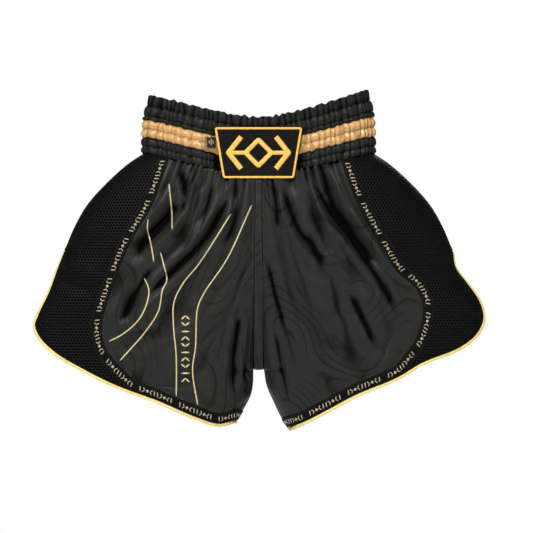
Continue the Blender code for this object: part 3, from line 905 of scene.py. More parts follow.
def make_size_tab(finishes):
    low, high = (np.array(corner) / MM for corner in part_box("size_tab"))
    x = np.linspace(low[0], high[0], 16)
    z = np.linspace(low[2], high[2], 18)
    grid_x, grid_z = np.meshgrid(x, z)
    curl = 0.5 * ((high[0] - grid_x) / TAB_WIDTH) ** 2
    wide = 0.12 * np.sin(grid_z * 0.9)
    grid = np.stack([grid_x, low[1] - curl - wide, grid_z], axis=-1)
    tab = sheet_mesh("woven_size_tab", grid, finishes["tab"], grid[..., [0, 2]], 0.5)
    middle = (low + high) / 2
    marks = []
    for k, tall in enumerate((2.2, 4.4, 2.2)):
        place = middle[0] + 2.6 * (k - 1)
        path = [(place, middle[2] - tall), (place, middle[2] + tall)]
        marks.append(satin_stitch(f"tab_mark_{k}", path, 1.1, low[1] - 0.22, 0.32,
                                  finishes["motif"]))
    marks = join("size_tab_marks", marks)
    dress(tab, "size_tab")
    dress(marks)
    for piece in (tab, marks):
        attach(piece, "tab")


def dress_cad_nodes(finishes):
    """Better materials for the CAD nodes whose shape is already right."""
    looks = {"care_label": "label", "eyelet_right": "brass", "eyelet_left": "brass"}
    looks.update({f"elastic_{k}": "elastic" for k in (1, 2, 3, 4)})
    for name, finish in looks.items():
        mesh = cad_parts[name].data
        mesh.materials.clear()
        mesh.materials.append(finishes[finish])


# ---------------------------------------------------------------- the legs

SATIN_ROWS = 191
SATIN_COLUMNS = 131
STRIP_TOP_HALF = 4.6  # half width of the centre strip at the waistband
STRIP_LOW_HALF = 7.2  # and at the fork
UNDER_STRIP = 1.8  # how far the satin reaches under the centre strip
UNDER_TAPE = 3.5  # how far the satin and the mesh reach under the tape
HEM_STRIP = 6.0  # width of the seam allowance inside the binding
BINDING_WIDTH = 3.7
BINDING_THICKNESS = 2.5
LINING_ROWS = 150
HOLE_PITCH = 4.5  # of the air mesh, from hole to hole
HOLE_RADIUS = 1.28

# The cloth simulation that settles the satin.
WIDER = 0.2  # how much wider than it hangs the satin is cut at the waistband
HOLD = 0.05  # how firmly it stays near its folds
DRAPE_FRAMES = 14
MOST_SHIFT = 6.0  # the furthest that it may move from the folds placed below

# Folds of the satin on the front, as (points, depth, half width): the photograph's own folds.
FOLDS = {
    "right": [
        ([(106, -100), (99, -140), (112, -172)], 5.5, 4.5),
        ([(100, -140), (125, -165), (149, -191), (173, -232)], 12.0, 8.5),
        ([(29, -120), (75, -199), (125, -247), (171, -294)], 8.0, 5.0),
        ([(30, -105), (33, -171), (54, -216)], 4.5, 6.0),
        ([(140, -226), (159, -257), (181, -298), (192, -322)], 4.5, 7.0),
        ([(25, -292), (31, -335), (34, -363), (31, -392), (22, -412)], 7.0, 5.0),
        ([(13, -360), (19, -378), (12, -392), (18, -408)], 4.5, 2.8),
        ([(86, -121), (100, -148), (117, -189), (134, -214)], -4.5, 7.0),
        ([(62, -118), (70, -150), (92, -190)], 2.6, 5.0),
        ([(128, -256), (152, -300), (168, -330)], -3.0, 12.0),
        ([(60, -300), (72, -350), (70, -400)], 2.5, 12.0),
        ([(95, -330), (120, -380)], -2.5, 14.0),
    ],
    "left": [
        ([(84, -88), (100, -146), (128, -187), (152, -220), (184, -246)], 13.0, 7.0),
        ([(62, -100), (103, -168), (136, -212), (160, -246), (173, -269), (189, -310)], 7.5, 4.2),
        ([(30, -112), (42, -155), (57, -187), (85, -220), (94, -252)], 7.0, 6.0),
        ([(70, -138), (90, -174), (106, -204), (122, -227)], -4.0, 5.5),
        ([(22, -112), (24, -154), (27, -192)], 3.2, 4.0),
        ([(122, -262), (141, -302), (152, -331), (158, -356)], 4.0, 7.5),
        ([(21, -308), (27, -361), (33, -391), (43, -436)], 4.0, 5.0),
        ([(12, -216), (21, -269), (29, -294), (36, -336)], 3.5, 5.0),
        ([(120, -150), (150, -195), (186, -232)], -3.5, 6.5),
        ([(60, -230), (100, -290), (130, -350)], -2.5, 14.0),
        ([(95, -260), (120, -330), (125, -390)], 2.5, 12.0),
    ],
}
BACK_FOLDS = [
    ([(30, -120), (48, -170), (88, -225)], 4.5, 7.0),
    ([(96, -110), (108, -150), (140, -200)], 5.0, 7.0),
    ([(62, -118), (80, -160), (118, -214)], -4.0, 7.0),
    ([(16, -150), (20, -230), (24, -300), (36, -380)], 3.5, 6.5),
    ([(60, -240), (120, -270), (180, -300)], 3.5, 12.0),
    ([(60, -330), (110, -340), (160, -360)], -3.0, 14.0),
]


def fold_relief(x, z, folds):
    """How far the listed folds move the cloth out, in millimetres."""
    total = 0 * x
    for points, deep, wide in folds:
        line = smooth(points, 90)
        along = lengths(line)
        total_length = along[-1]
        nearest = np.full(x.shape, 1e9)
        where = 0 * x
        for (ax, az), start in zip(line, along):
            away = np.hypot(x - ax, z - az)
            closer = away < nearest
            nearest = np.where(closer, away, nearest)
            where = np.where(closer, start / total_length, where)
        ends = ease(where / 0.25) * ease((1 - where) / 0.35)
        sharp = np.exp(-(nearest / wide) ** 1.7)
        bank = 0.35 * np.exp(-((nearest - 2.1 * wide) / (1.1 * wide)) ** 2)
        total = total - deep * ends * (sharp - bank)
    return total


def gathers(u, from_top, seed, wide):
    """Pleats that run down from the waistband and merge into fewer, wider ones."""
    draw = np.random.default_rng(seed)
    total = 0 * u
    depth_down = np.clip(from_top, 0, None)
    for pitch, deep, reach, sharp in ((8.5, 4.2, 20.0, 0.7), (17.0, 4.6, 42.0, 0.75),
                                      (33.0, 4.2, 90.0, 0.9)):
        count = wide / pitch
        wobble = 0 * u
        for k in range(1, 5):
            size = 0.85 / k
            wobble = wobble + size * np.sin(math.pi * k * u * 2.1 + 6.3 * draw.random()
                                            + depth_down / (reach * 1.6) * draw.normal())
        lean = depth_down * (0.010 + 0.006 * draw.normal())
        wave = np.abs(np.sin(math.pi * count * u + wobble - lean))
        size = 1 + 0.45 * np.sin(math.pi * count * 0.37 * u + 6.3 * draw.random())
        long = reach * (1 + 0.5 * np.sin(math.pi * count * 0.61 * u + 6.3 * draw.random()))
        total = total + deep * size * (wave ** sharp - 0.72) * np.exp(-depth_down / long)
    return total


def strip_half(z):
    top = height(0.0, -BAND_HEIGHT)
    return np.interp(z, [CROTCH, top], [STRIP_LOW_HALF, STRIP_TOP_HALF])


def satin_places(leg, rows, columns):
    """The (x, z) places of a satin panel, with u across it and v down it."""
    outer = tape_line(leg, TAPE_WIDTH / 2 - UNDER_TAPE, rows)
    start = height(0.0, -BAND_HEIGHT + 2.0)
    z = np.linspace(start, CROTCH, 200)
    seam = np.column_stack([strip_half(z) - UNDER_STRIP * ease((z - CROTCH + 3) / 10), z])
    inner = np.vstack([seam[:-1], leg["inseam_line"]])
    stop = lengths(inner)[-1] - TRIM - TAPE_WIDTH / 2 + UNDER_TAPE + 0.6
    inner = at(inner, np.linspace(0, stop, rows))
    u = np.linspace(0, 1, columns) ** 1.15
    v = np.linspace(0, 1, rows)
    top_x = inner[0, 0] + (outer[0, 0] - inner[0, 0]) * u
    top = np.column_stack([top_x, height(top_x, -BAND_HEIGHT + 2.0)])
    outer = outer + (top[-1] - outer[0]) * ((1 - v) ** 20)[:, None]
    u3, v3 = u[None, :, None], v[:, None, None]
    ruled = (1 - u3) * inner[:, None] + u3 * outer[:, None]
    bow = top[None] - (1 - u3) * top[0] - u3 * top[-1]
    places = ruled + bow * (1 - v3) ** 2
    shape = places.shape[:2]
    return places, np.broadcast_to(u[None], shape), np.broadcast_to(v[:, None], shape)


def satin_surface(side, face):
    """The finished satin: a grid of points, and the places they were cut from."""
    leg = LEGS[side]
    places, u, v = satin_places(leg, SATIN_ROWS, SATIN_COLUMNS)
    x, z = places[..., 0], places[..., 1]
    base = surface(leg, x, z, face)
    from_top = height(x, -BAND_HEIGHT) - z
    wide = places[0, -1, 0] - places[0, 0, 0]
    relief = gathers(u, np.clip(from_top, 0, None), 11 + 2 * face + leg["sign"], wide)
    relief = relief + fold_relief(x, z, FOLDS[side] if face < 0 else BACK_FOLDS)
    # slow unevenness of cloth that hangs free
    turn = 3.1 * leg["sign"] + 1.7 * face
    for deep, across, along in ((0.8, 7.5, 60), (1.3, 12, -95), (1.6, 19, 75)):
        fold = np.sin(x / across + z / along + turn * across + 0.8 * np.sin(z / 53 + turn))
        patches = 0.5 + 0.5 * np.sin(x / 37 - z / 48 + turn * along)
        relief = relief + deep * fold * patches * ease(from_top / 90)
    span = np.linalg.norm(places[:, -1] - places[:, 0], axis=1)[:, None]
    inner_edge = ease(u * span / 9)
    outer_edge_fade = ease((1 - u) * span / 12)
    tip = ease((1 - v) / 0.06)
    relief = relief * (0.25 + 0.75 * inner_edge) * outer_edge_fade * tip
    relief = relief - 1.1 * np.exp(-(u * span / 2.2) ** 2)
    relief = relief - 0.8 * ease((2.5 - from_top) / 3)
    room = np.clip(np.abs(base[..., 1]) / 12, 0, 1)
    grid = base + normals(base) * (relief * room)[..., None]
    return grid, places


def settle(start, from_top):
    """The satin after a short cloth simulation: it was cut wider than the edges it hangs from."""
    coarse = start[::2, ::2] * MM
    below = from_top[::2, ::2]
    rows, columns = coarse.shape[:2]
    mesh = bpy.data.meshes.new("drape")
    mesh.from_pydata(coarse.reshape(-1, 3).tolist(), [], cells(rows, columns).tolist())
    cloth = placed("drape", mesh)
    cloth.shape_key_add(name="hung")
    cut = cloth.shape_key_add(name="cut", from_mix=False)
    across = np.linalg.norm(np.diff(coarse, axis=1), axis=2)
    across = across * (1 + WIDER * np.exp(-below / 45))[:, 1:]
    x = np.concatenate([np.zeros((rows, 1)), np.cumsum(across, axis=1)], axis=1)
    x -= x[:, -1:] / 2
    down = np.linalg.norm(np.diff(coarse, axis=0), axis=2).mean(axis=1) * 1.01
    z = -np.concatenate([[0], np.cumsum(down)])[:, None] + 0 * x
    spread = np.stack([x, 0 * x, z], axis=-1)
    cut.data.foreach_set("co", spread.reshape(-1, 3).ravel())
    held = cloth.vertex_groups.new(name="held")
    weight = np.full((rows, columns), HOLD)
    weight[:2] = weight[-2:] = 1.0
    weight[:, :2] = weight[:, -2:] = 1.0
    for index, share in enumerate(weight.ravel()):
        held.add([index], float(share), "REPLACE")
    drape = cloth.modifiers.new("drape", "CLOTH")
    physics = drape.settings
    physics.quality = 7
    physics.mass = 0.02
    physics.tension_stiffness = physics.compression_stiffness = 25
    physics.shear_stiffness = 4
    physics.bending_stiffness = 0.02
    physics.tension_damping = physics.compression_damping = 8
    physics.vertex_group_mass = "held"
    physics.pin_stiffness = 0.4
    physics.rest_shape_key = cut
    physics.effector_weights.gravity = 0.3
    drape.point_cache.frame_start = 1
    drape.point_cache.frame_end = DRAPE_FRAMES
    for moment in range(1, DRAPE_FRAMES + 1):
        bpy.context.scene.frame_set(moment)
    settled = cloth.evaluated_get(bpy.context.evaluated_depsgraph_get()).to_mesh()
    points = np.empty(rows * columns * 3)
    settled.vertices.foreach_get("co", points)
    bpy.data.objects.remove(cloth)
    bpy.context.scene.frame_set(1)
    shift = points.reshape(rows, columns, 3) / MM - start[::2, ::2]
    size = np.linalg.norm(shift, axis=2)[..., None] + 1e-9
    shift = shift / size * np.minimum(size, MOST_SHIFT)
    return start + doubled(doubled(shift).transpose(1, 0, 2)).transpose(1, 0, 2)


def doubled(values):
    """Rows of values with a smooth row put between each two."""
    padded = np.concatenate([values[:1], values, values[-1:]])
    middle = (9 * (padded[1:-2] + padded[2:-1]) - padded[:-3] - padded[3:]) / 16
    out = np.empty((2 * len(values) - 1, *values.shape[1:]))
    out[::2] = values
    out[1::2] = middle
    return out


def make_satin(side, face, finishes):
    grid, places = satin_surface(side, face)
    from_top = height(places[..., 0], -BAND_HEIGHT) - places[..., 1]
    grid = settle(grid, np.clip(from_top, 0, None))
    cut = places * np.array([LEGS[side]["sign"], 1.0]) + (0 if face < 0 else 900.0)
    # the depth of each point in the folds becomes painted shade in the satin
    piece = sheet_mesh(half_name(side, face, "satin"), grid, finishes["satin"], cut, 0.4,
                       painted_shade=hollows(grid))
    return dress(piece, half_name(side, face, "panel")), grid


def half_name(side, face, what):
    """The name of a piece of one leg's front (-1) or back (1)."""
    return f"{side}_{'front' if face < 0 else 'back'}_{what}"


def dress(piece, node=None):
    """Hides the CAD node that a piece stands for, when one is given."""
    if node:
        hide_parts(node)
    return piece


def swing(piece):
    """Bakes the piece's transform into its mesh."""
    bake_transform(piece)


def fold_measure(leg):
    """A function from (distance over the cloth from x = 90, height) to x."""
    heights = np.linspace(-460, -70, 240)
    spans = np.linspace(-60, 300, 721)
    table = np.zeros((len(heights), len(spans)))
    for k, z in enumerate(heights):
        level = z + dip(0 * z, z)
        width = float(np.interp(z, *leg["edge"]))
        x = width * np.sin(np.linspace(0.02, math.pi / 2, 1500))
        away = depth(leg, x, 0 * x + z)
        along = np.concatenate([[0], np.cumsum(np.hypot(np.diff(x), np.diff(away)))])
        along -= np.interp(90.0, x, along)
        table[k] = np.interp(spans, along, x)

    def place(span, z):
        i = np.clip((z - heights[0]) / (heights[1] - heights[0]), 0, len(heights) - 1.001)
        j = np.clip((span - spans[0]) / (spans[1] - spans[0]), 0, len(spans) - 1.001)
        a, b = i.astype(int), j.astype(int)
        s, t = i - a, j - b
        return ((1 - s) * (1 - t) * table[a, b] + (1 - s) * t * table[a, b + 1]
                + s * (1 - t) * table[a + 1, b] + s * t * table[a + 1, b + 1])

    return place


def inside(x, z, outline):
    """Which places lie inside a closed outline."""
    hit = np.zeros(x.shape, bool)
    for (ax, az), (bx, bz) in zip(outline, np.roll(outline, -1, axis=0)):
        if az == bz:
            continue
        crosses = (az > z) != (bz > z)
        hit ^= crosses & (x < (bx - ax) * (z - az) / (bz - az) + ax)
    return hit


def side_and_vent(leg, past, count):
    """The leg's outer edge from the waistband to a little past the corner where the tape joins."""
    hem = leg["hem_line"]
    end = lengths(hem)[-1] - leg["join"] + past
    return np.vstack([smooth(SIDE_EDGE, 80)[:-1], at(hem, np.linspace(0, end, count))])


def mesh_region(leg):
    """The outline of the air mesh, from under the waistband to under the tape and binding."""
    outer = inset(leg, side_and_vent(leg, 25, 260), 3.2)
    inner = tape_line(leg, -(TAPE_WIDTH / 2 - UNDER_TAPE), 300)
    apart = np.linalg.norm(inner[:, None] - outer[None, ::4], axis=2).min(axis=1)
    keep = int(np.argmax(apart < 4.5)) or len(inner)
    inner = inner[:keep]
    top_x = np.linspace(inner[0, 0], outer[0, 0], 12)
    top = np.column_stack([top_x, height(top_x, -BAND_HEIGHT + 1.5)])
    return np.vstack([top, outer[1:], inner[::-1]])


def make_air_mesh(side, face, finishes):
    leg = LEGS[side]
    to_x = fold_measure(leg)
    row_step = HOLE_PITCH * math.sqrt(3) / 2
    rows = np.arange(-466, -66, row_step)
    spans = np.arange(-60, 300, HOLE_PITCH)
    span = spans[None] + (np.arange(len(rows)) % 2)[:, None] * HOLE_PITCH / 2
    z = np.broadcast_to(rows[:, None], span.shape)
    keep = inside(to_x(span, z), z, mesh_region(leg))
    span, z = span[keep], z[keep]
    turn = np.arange(12) * math.pi / 6
    corner = HOLE_PITCH / math.sqrt(3)
    reach = np.where(np.arange(12) % 2 == 0, HOLE_PITCH / 2, corner)
    rings = []
    for radius, lift in ((reach, 0.30), (HOLE_RADIUS + 0.12, 0.2), (HOLE_RADIUS, -0.05),
                         (HOLE_RADIUS, -0.5), (reach, -0.5)):
        ring_x, ring_z = span[:, None] + radius * np.cos(turn), z[:, None] + radius * np.sin(turn)
        rings.append(np.stack([ring_x, ring_z, 0 * ring_x + lift], axis=-1))
    count = len(span)
    flat = np.stack(rings, axis=1).reshape(-1, 3)
    _, first, index = np.unique(np.round(flat * 200).astype(np.int64), axis=0, return_index=True,
                                return_inverse=True)
    index = index.reshape(count, 5, 12)
    flat = flat[first]
    quads = []
    for layer in range(4):
        a, b = index[:, layer], index[:, layer + 1]
        ring_quads = np.stack([a, np.roll(a, -1, 1), np.roll(b, -1, 1), b], axis=-1)
        quads.append(ring_quads.reshape(-1, 4))
    top, under = index[:, 0].reshape(-1), index[:, 4].reshape(-1)
    after = np.roll(index[:, 0], -1, 1).reshape(-1)
    under_after = np.roll(index[:, 4], -1, 1).reshape(-1)
    pair = np.sort(np.stack([top, after], 1), axis=1)
    _, back, uses = np.unique(pair, axis=0, return_inverse=True, return_counts=True)
    lone = uses[back.reshape(-1)] == 1
    quads.append(np.stack([top, after, under_after, under], 1)[lone])
    x = to_x(flat[:, 0], flat[:, 1])
    base = surface(leg, x, flat[:, 1], face)
    step = 0.6
    across = surface(leg, to_x(flat[:, 0] + step, flat[:, 1]), flat[:, 1], face)
    across = across - surface(leg, to_x(flat[:, 0] - step, flat[:, 1]), flat[:, 1], face)
    down = surface(leg, x, flat[:, 1] + step, face) - surface(leg, x, flat[:, 1] - step, face)
    away = unit(np.cross(across, down), 1e-9)
    away *= np.sign(away[:, 1] * face + 1e-6)[:, None]
    points = base + away * flat[:, 2:3] + away * mesh_relief(leg, x, flat[:, 1])[:, None]
    cut = flat[:, :2]
    piece = make_mesh(half_name(side, face, "air_mesh"), points, np.vstack(quads).tolist(),
                      finishes["mesh"], cut)
    return dress(piece, half_name(side, face, "mesh"))


def mesh_relief(leg, x, z):
    """The soft fold across the air mesh near the vent, which its lining shares."""
    inner = np.interp(z, leg["tape_rows"][::-1, 1], leg["tape_rows"][::-1, 0])
    width = np.interp(z, *leg["edge"])
    middle = np.clip((x - inner - 8) / 25, 0, 1) * np.clip((width - x - 4) / 25, 0, 1)
    line = -262 + 0.35 * (x - 240) if leg["sign"] < 0 else -225 + 0.5 * (240 - x)
    fold = -3.2 * np.exp(-((z - line) / 9) ** 2) + 2.4 * np.exp(-((z - line - 24) / 16) ** 2)
    return ease(middle) * fold


def make_mesh_lining(side, face, finishes):
    """The mesh's closed inner knit, which shows dark through its holes."""
    leg = LEGS[side]
    outer = even(inset(leg, side_and_vent(leg, 25, 260), 0.9), LINING_ROWS)
    inner = tape_line(leg, -(TAPE_WIDTH / 2 - UNDER_TAPE), 400)
    near = int(np.argmin(np.linalg.norm(inner - outer[-1], axis=1)))
    inner = even(inner[: near + 1], LINING_ROWS)
    t = np.sin(np.linspace(0, math.pi / 2, 40))[None, :, None]
    places = inner[:, None] * (1 - t) + outer[:, None] * t
    x, z = places[..., 0], places[..., 1]
    top = height(x[:1], -BAND_HEIGHT + 1.5) - z[:1]
    z = z + top * ((1 - np.linspace(0, 1, LINING_ROWS)) ** 6)[:, None]
    base = surface(leg, x, z, face)
    relief = mesh_relief(leg, x, z)
    shrink = np.clip(np.abs(base[..., 1]) / 3, 0, 1)
    grid = base + normals(base) * ((relief - 0.95) * shrink)[..., None]
    piece = sheet_mesh(half_name(side, face, "mesh_lining"), grid, finishes["lining"], places, 0.3)
    return dress(piece), grid


def over_grid(down, across):
    """A grid of (down, across) pairs, to lay a sheet's cut out with."""
    return np.stack(np.broadcast_arrays(down[:, None], across[None]), axis=-1)


def strip_on_surface(leg, face, lines):
    """(points, normals) of the cloth along two or more (x, z) lines."""
    places = np.stack(lines, axis=1)
    base = surface(leg, places[..., 0], places[..., 1], face)
    return base, normals(base)


def make_tape(side, face, finishes):
    leg = LEGS[side]
    half = TAPE_WIDTH / 2
    offsets = [-half, -half * 0.96, -half * 0.6, -half * 0.2, half * 0.2, half * 0.6, half * 0.96,
               half]
    lines = [tape_line(leg, offset, 500) for offset in offsets]
    grid, away = strip_on_surface(leg, face, lines)
    lift = np.array([0.55, 1.0, 1.12, 1.18, 1.18, 1.12, 1.0, 0.55])
    grid = grid + away * lift[None, :, None]
    along = lengths(grid[:, 3])
    cut = over_grid(along, np.array(offsets))
    piece = sheet_mesh(half_name(side, face, "woven_tape"), grid, finishes["tape"], cut, 0.9)
    return dress(piece, half_name(side, face, "tape")), grid, away


# The tape's motif, as convex outlines in (along, across) and where each stands in a repeat.
MOTIF_OUTLINES = {
    "bar": [[(-1.65, -3.1), (-0.15, -3.1), (1.65, 3.1), (0.15, 3.1)]],
    "right": [[(-1.6, up * 3.2), (-0.1, up * 3.2), (1.9, 0), (0.4, 0)] for up in (-1, 1)],
    "left": [[(1.6, up * 3.2), (0.1, up * 3.2), (-1.9, 0), (-0.4, 0)] for up in (-1, 1)],
    "diamond": [[(-2.5, 0), (0, -2.5), (2.5, 0), (0, 2.5)]],
}
MOTIF_PLACES = [(-22, "bar"), (-17, "right"), (-11.5, "diamond"), (-6, "left"), (-1.2, "bar"),
                (3.4, "bar"), (8.4, "right"), (13.6, "diamond"), (19, "left"), (23.6, "bar")]
MOTIF_REPEAT = 60.0


def make_motifs(side, face, tape_grid, away, finishes):
    """The tape's motif, woven in thicker thread, repeated along it."""
    middle = (tape_grid[:, 3] + tape_grid[:, 4]) / 2
    along = lengths(middle)
    up = away[:, 3]
    across = np.cross(frames_along(middle), up)
    points, faces = [], []
    repeat = along[-1] / round(along[-1] / MOTIF_REPEAT)
    start = repeat / 2
    shapes = [np.array(outline, float) + (place, 0) for place, kind in MOTIF_PLACES
              for outline in MOTIF_OUTLINES[kind]]
    while start < along[-1] - 20:
        for shape in shapes:
            first = len(points)
            if np.cross(shape[1] - shape[0], shape[2] - shape[1]) < 0:
                shape = shape[::-1]
            reach = np.clip(start + shape[:, 0], 0.5, along[-1] - 0.5)
            spot = at(middle, reach)
            side_way, up_way = between(reach, along, across), between(reach, along, up)
            spot = spot + side_way * shape[:, 1:2] * leg_turn(side, face)
            count = len(shape)
            points += list(spot + up_way * 0.2) + list(spot - up_way * 0.25)
            faces.append(list(range(first, first + count)))
            faces.append(list(range(first + count, first + 2 * count))[::-1])
            for i in range(count):
                j = (i + 1) % count
                faces.append([first + i, first + count + i, first + count + j, first + j])
        start += repeat
    cut = np.array(points)[:, [0, 2]]
    piece = make_mesh(half_name(side, face, "tape_motif"), np.array(points), faces,
                      finishes["motif"], cut)
    return dress(piece)


def leg_turn(side, face):
    return LEGS[side]["sign"] * face


def make_binding(side, face, finishes):
    """Gold binding rolled over the hem, from the vent's top round the corner to the inseam."""
    leg = LEGS[side]
    hem = even(leg["hem_line"], 620)
    half = BINDING_WIDTH / 2
    line = inset(leg, hem, half - 0.5)
    edge = surface(leg, line[:, 0], line[:, 1], face)
    beside = inset(leg, hem, half + 1.5)
    side_way = surface(leg, beside[:, 0], beside[:, 1], face) - edge
    along = frames_along(edge)
    side_way -= along * (side_way * along).sum(1)[:, None]
    side_way = unit(side_way)
    up = np.cross(along, side_way)
    up *= np.sign((up[:, 1] * face).mean())
    draw = np.random.default_rng(5 + face + leg["sign"])
    spread = lengths(edge)
    pull = 0.10 * np.sin(spread * 1.9 + draw.random())
    pull = pull + 0.08 * wander(spread, spread[-1] * 1.1, 9, 7)
    turn = np.linspace(0, 2 * math.pi, 15)[:-1]
    thick = BINDING_THICKNESS / 2 * (1 + pull)
    wide = half * (1 + 0.5 * pull)
    rings = edge[:, None] + side_way[:, None] * (wide[:, None] * np.cos(turn))[..., None] \
        + up[:, None] * (0.45 + thick[:, None] * np.sin(turn))[..., None]
    cut = over_grid(spread, turn * 2)
    piece = tube_mesh(half_name(side, face, "gold_binding"), rings, finishes["binding"], cut)
    return dress(piece, half_name(side, face, "binding"))


def make_hem_strip(side, face, finishes):
    """The black seam allowance that shows between the binding and the mesh, and up the side."""
    leg = LEGS[side]
    edge = even(side_and_vent(leg, 30, 300), 420)
    lines = [inset(leg, edge, distance) for distance in (0.25, 1.5, 3.0, 4.5, HEM_STRIP)]
    grid, away = strip_on_surface(leg, face, lines)
    lift = np.array([0.2, 0.45, 0.55, 0.55, 0.3])
    grid = grid + away * lift[None, :, None]
    grid[..., 1] = face * np.maximum(face * grid[..., 1], 0.1)
    along = lengths(grid[:, 2])
    cut = over_grid(along, np.array([0.0, 1.5, 3, 4.5, 6]))
    piece = sheet_mesh(half_name(side, face, "edge_seam"), grid, finishes["tape"], cut, 0.45)
    return dress(piece)


# Gold lines printed on the right front panel, from the waistband down, and the mark beside them.
GOLD_LINES = [
    [(121, -121), (118, -151), (116, -183)],
    [(149, -169), (150, -183), (144, -208), (141, -227)],
    [(154, -249), (148, -263), (150, -281), (161, -304), (183, -324), (202, -334)],
    [(132, -214), (124, -252), (129, -263), (135, -293), (152, -320), (187, -360)],
    [(37, -162), (80, -229), (102, -256), (114, -281), (115, -308), (111, -353), (111, -408)],
    [(9, -150), (42, -222), (74, -270), (82, -289), (85, -342), (89, -373), (82, -420)],
]
LINE_WIDTH = 1.7
MARK_WIDTH = 2.3


class Draped:
    """The satin's outer face, to lay prints and stitches on."""

    def __init__(self, grid, face):
        rows, columns = grid.shape[:2]
        flat = grid.reshape(-1, 3)
        self.tree = BVHTree.FromPolygons(flat.tolist(), cells(rows, columns).tolist())
        self.face = face

    def under(self, x, z):
        """The points and normals straight behind places of the front view."""
        found, away = [], []
        for px, pz in zip(np.ravel(x), np.ravel(z)):
            hit, normal, _, _ = self.tree.ray_cast(Vector((px, self.face * 200, pz)),
                                                   Vector((0, -self.face, 0)))
            if hit is None:
                hit, normal, _, _ = self.tree.find_nearest(Vector((px, self.face * 40, pz)))
            normal = normal if normal.y * self.face > 0 else -normal
            found.append(hit)
            away.append(normal)
        shape = np.shape(x)
        return np.array(found).reshape(*shape, 3), np.array(away).reshape(*shape, 3)


def print_ribbon(name, draped, line, width, finish):
    """A printed line on the right leg: a thin film on the satin that follows its folds."""
    line = even(smooth(line, 400), max(8, int(lengths(np.array(line, float))[-1] / 1.2)))
    side = right_of(unit(np.gradient(line, axis=0)))
    step = np.arange(len(line))
    taper = width * np.minimum(1, 0.35 + np.minimum(step, step[::-1]) / 5)
    t = np.array([-0.5, -0.2, 0.2, 0.5])
    places = line[:, None] + side[:, None] * (taper[:, None] * t)[..., None]
    spot, away = draped.under(-places[..., 0], places[..., 1])
    grid = spot + away * 0.22
    return sheet_mesh(name, grid, finish, places, 0.3)


def make_prints(draped, finishes):
    pieces = [print_ribbon(f"print_{k}", draped, line, LINE_WIDTH, finishes["print"])
              for k, line in enumerate(GOLD_LINES)]
    x, top, low = 98.5, -297.0, -391.0
    step = (top - low) / 10
    for k in range(10):
        z = top - (k + 0.5) * step
        if k % 3 == 1:
            marks = [[(x - 5.5, z + 3), (x, z - 1.5)], [(x + 5.5, z + 3), (x, z - 1.5)]]
        elif k % 3 == 2:
            marks = [[(x - 5.5, z), (x + 5.5, z)]]
        else:
            marks = [[(x - 5.5, z - 2.6), (x, z + 2.6)], [(x + 5.5, z - 2.6), (x, z + 2.6)]]
        for m, mark in enumerate(marks):
            pieces.append(print_ribbon(f"mark_{k}_{m}", draped, mark, MARK_WIDTH,
                                       finishes["print"]))
    prints = join("right_front_gold_print", pieces)
    return prints


def make_centre_strip(finishes):
    leg = LEGS["right"]
    top = float(height(0.0, -BAND_HEIGHT + 2.0))
    turn = np.linspace(0, math.pi / 2, 120)
    z = top + (CROTCH - top) * np.sin(turn) ** 1.2
    away = depth(leg, strip_half(z), z)
    away[-1] = 0
    y = np.concatenate([-away, away[-2::-1]])
    z = np.concatenate([z, z[-2::-1]])
    columns = 23
    t = np.linspace(-1, 1, columns)
    x = strip_half(z)[:, None] * t[None]
    base = np.stack(np.broadcast_arrays(x, y[:, None], z[:, None]), axis=-1).copy()
    spine = base[:, columns // 2]
    along = frames_along(spine)
    up = np.stack([0 * y, -along[:, 2], along[:, 1]], axis=1)
    up *= np.sign(up[:, 1:2] * np.where(y == 0, -1, y)[:, None] + 1e-9)
    up[np.abs(y) < 3] = np.array([0, 0, -1.0])
    up = unit(up)
    long = lengths(spine)
    ripple = 0.45 * wander(long, long[-1], 16, 41) + 0.35 * wander(long, long[-1], 7, 42)
    crown = 0.35 * (1 - t ** 4)[None] - 0.8 * np.exp(-((1 - np.abs(t)) * 6) ** 2)[None]
    crown = crown + ripple[:, None] * (1 - t * t)[None]
    grid = base + up[:, None] * crown[..., None]
    cut = np.stack(np.broadcast_arrays(x, long[:, None]), axis=-1)
    # painted shade along the strip's two seams, where it dips into the satin
    seam_shade = np.broadcast_to(0.75 * np.exp(-((1 - np.abs(t)) * 5) ** 2)[None], x.shape)
    piece = sheet_mesh("centre_satin_strip", grid, finishes["satin"], cut, 0.5,
                       painted_shade=seam_shade)
    dress(piece, "centre_strip")
    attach(piece, "waist")
    runs = []
    for side in (-1, 1):
        edge = base[:, columns // 2].copy()
        edge[:, 0] = side * (strip_half(z) - 1.7)
        runs.append((edge + up * 0.3, up))
    stitches = stitch_mesh("centre_stitches", runs, finishes["seam"], 2.8, 1.6, 0.42)
    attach(stitches, "waist")


def tape_stitches(side, face, tape_grid, away, finishes):
    """The two rows that sew the tape down, just inside its edges."""
    runs = []
    for a, b in ((1, 2), (5, 6)):
        line = tape_grid[:, a] * 0.75 + tape_grid[:, b] * 0.25
        runs.append((line + away[:, a] * 0.02, away[:, a]))
    piece = stitch_mesh(half_name(side, face, "tape_stitches"), runs, finishes["stitch"], 2.2,
                        1.0, 0.22)
    return dress(piece)


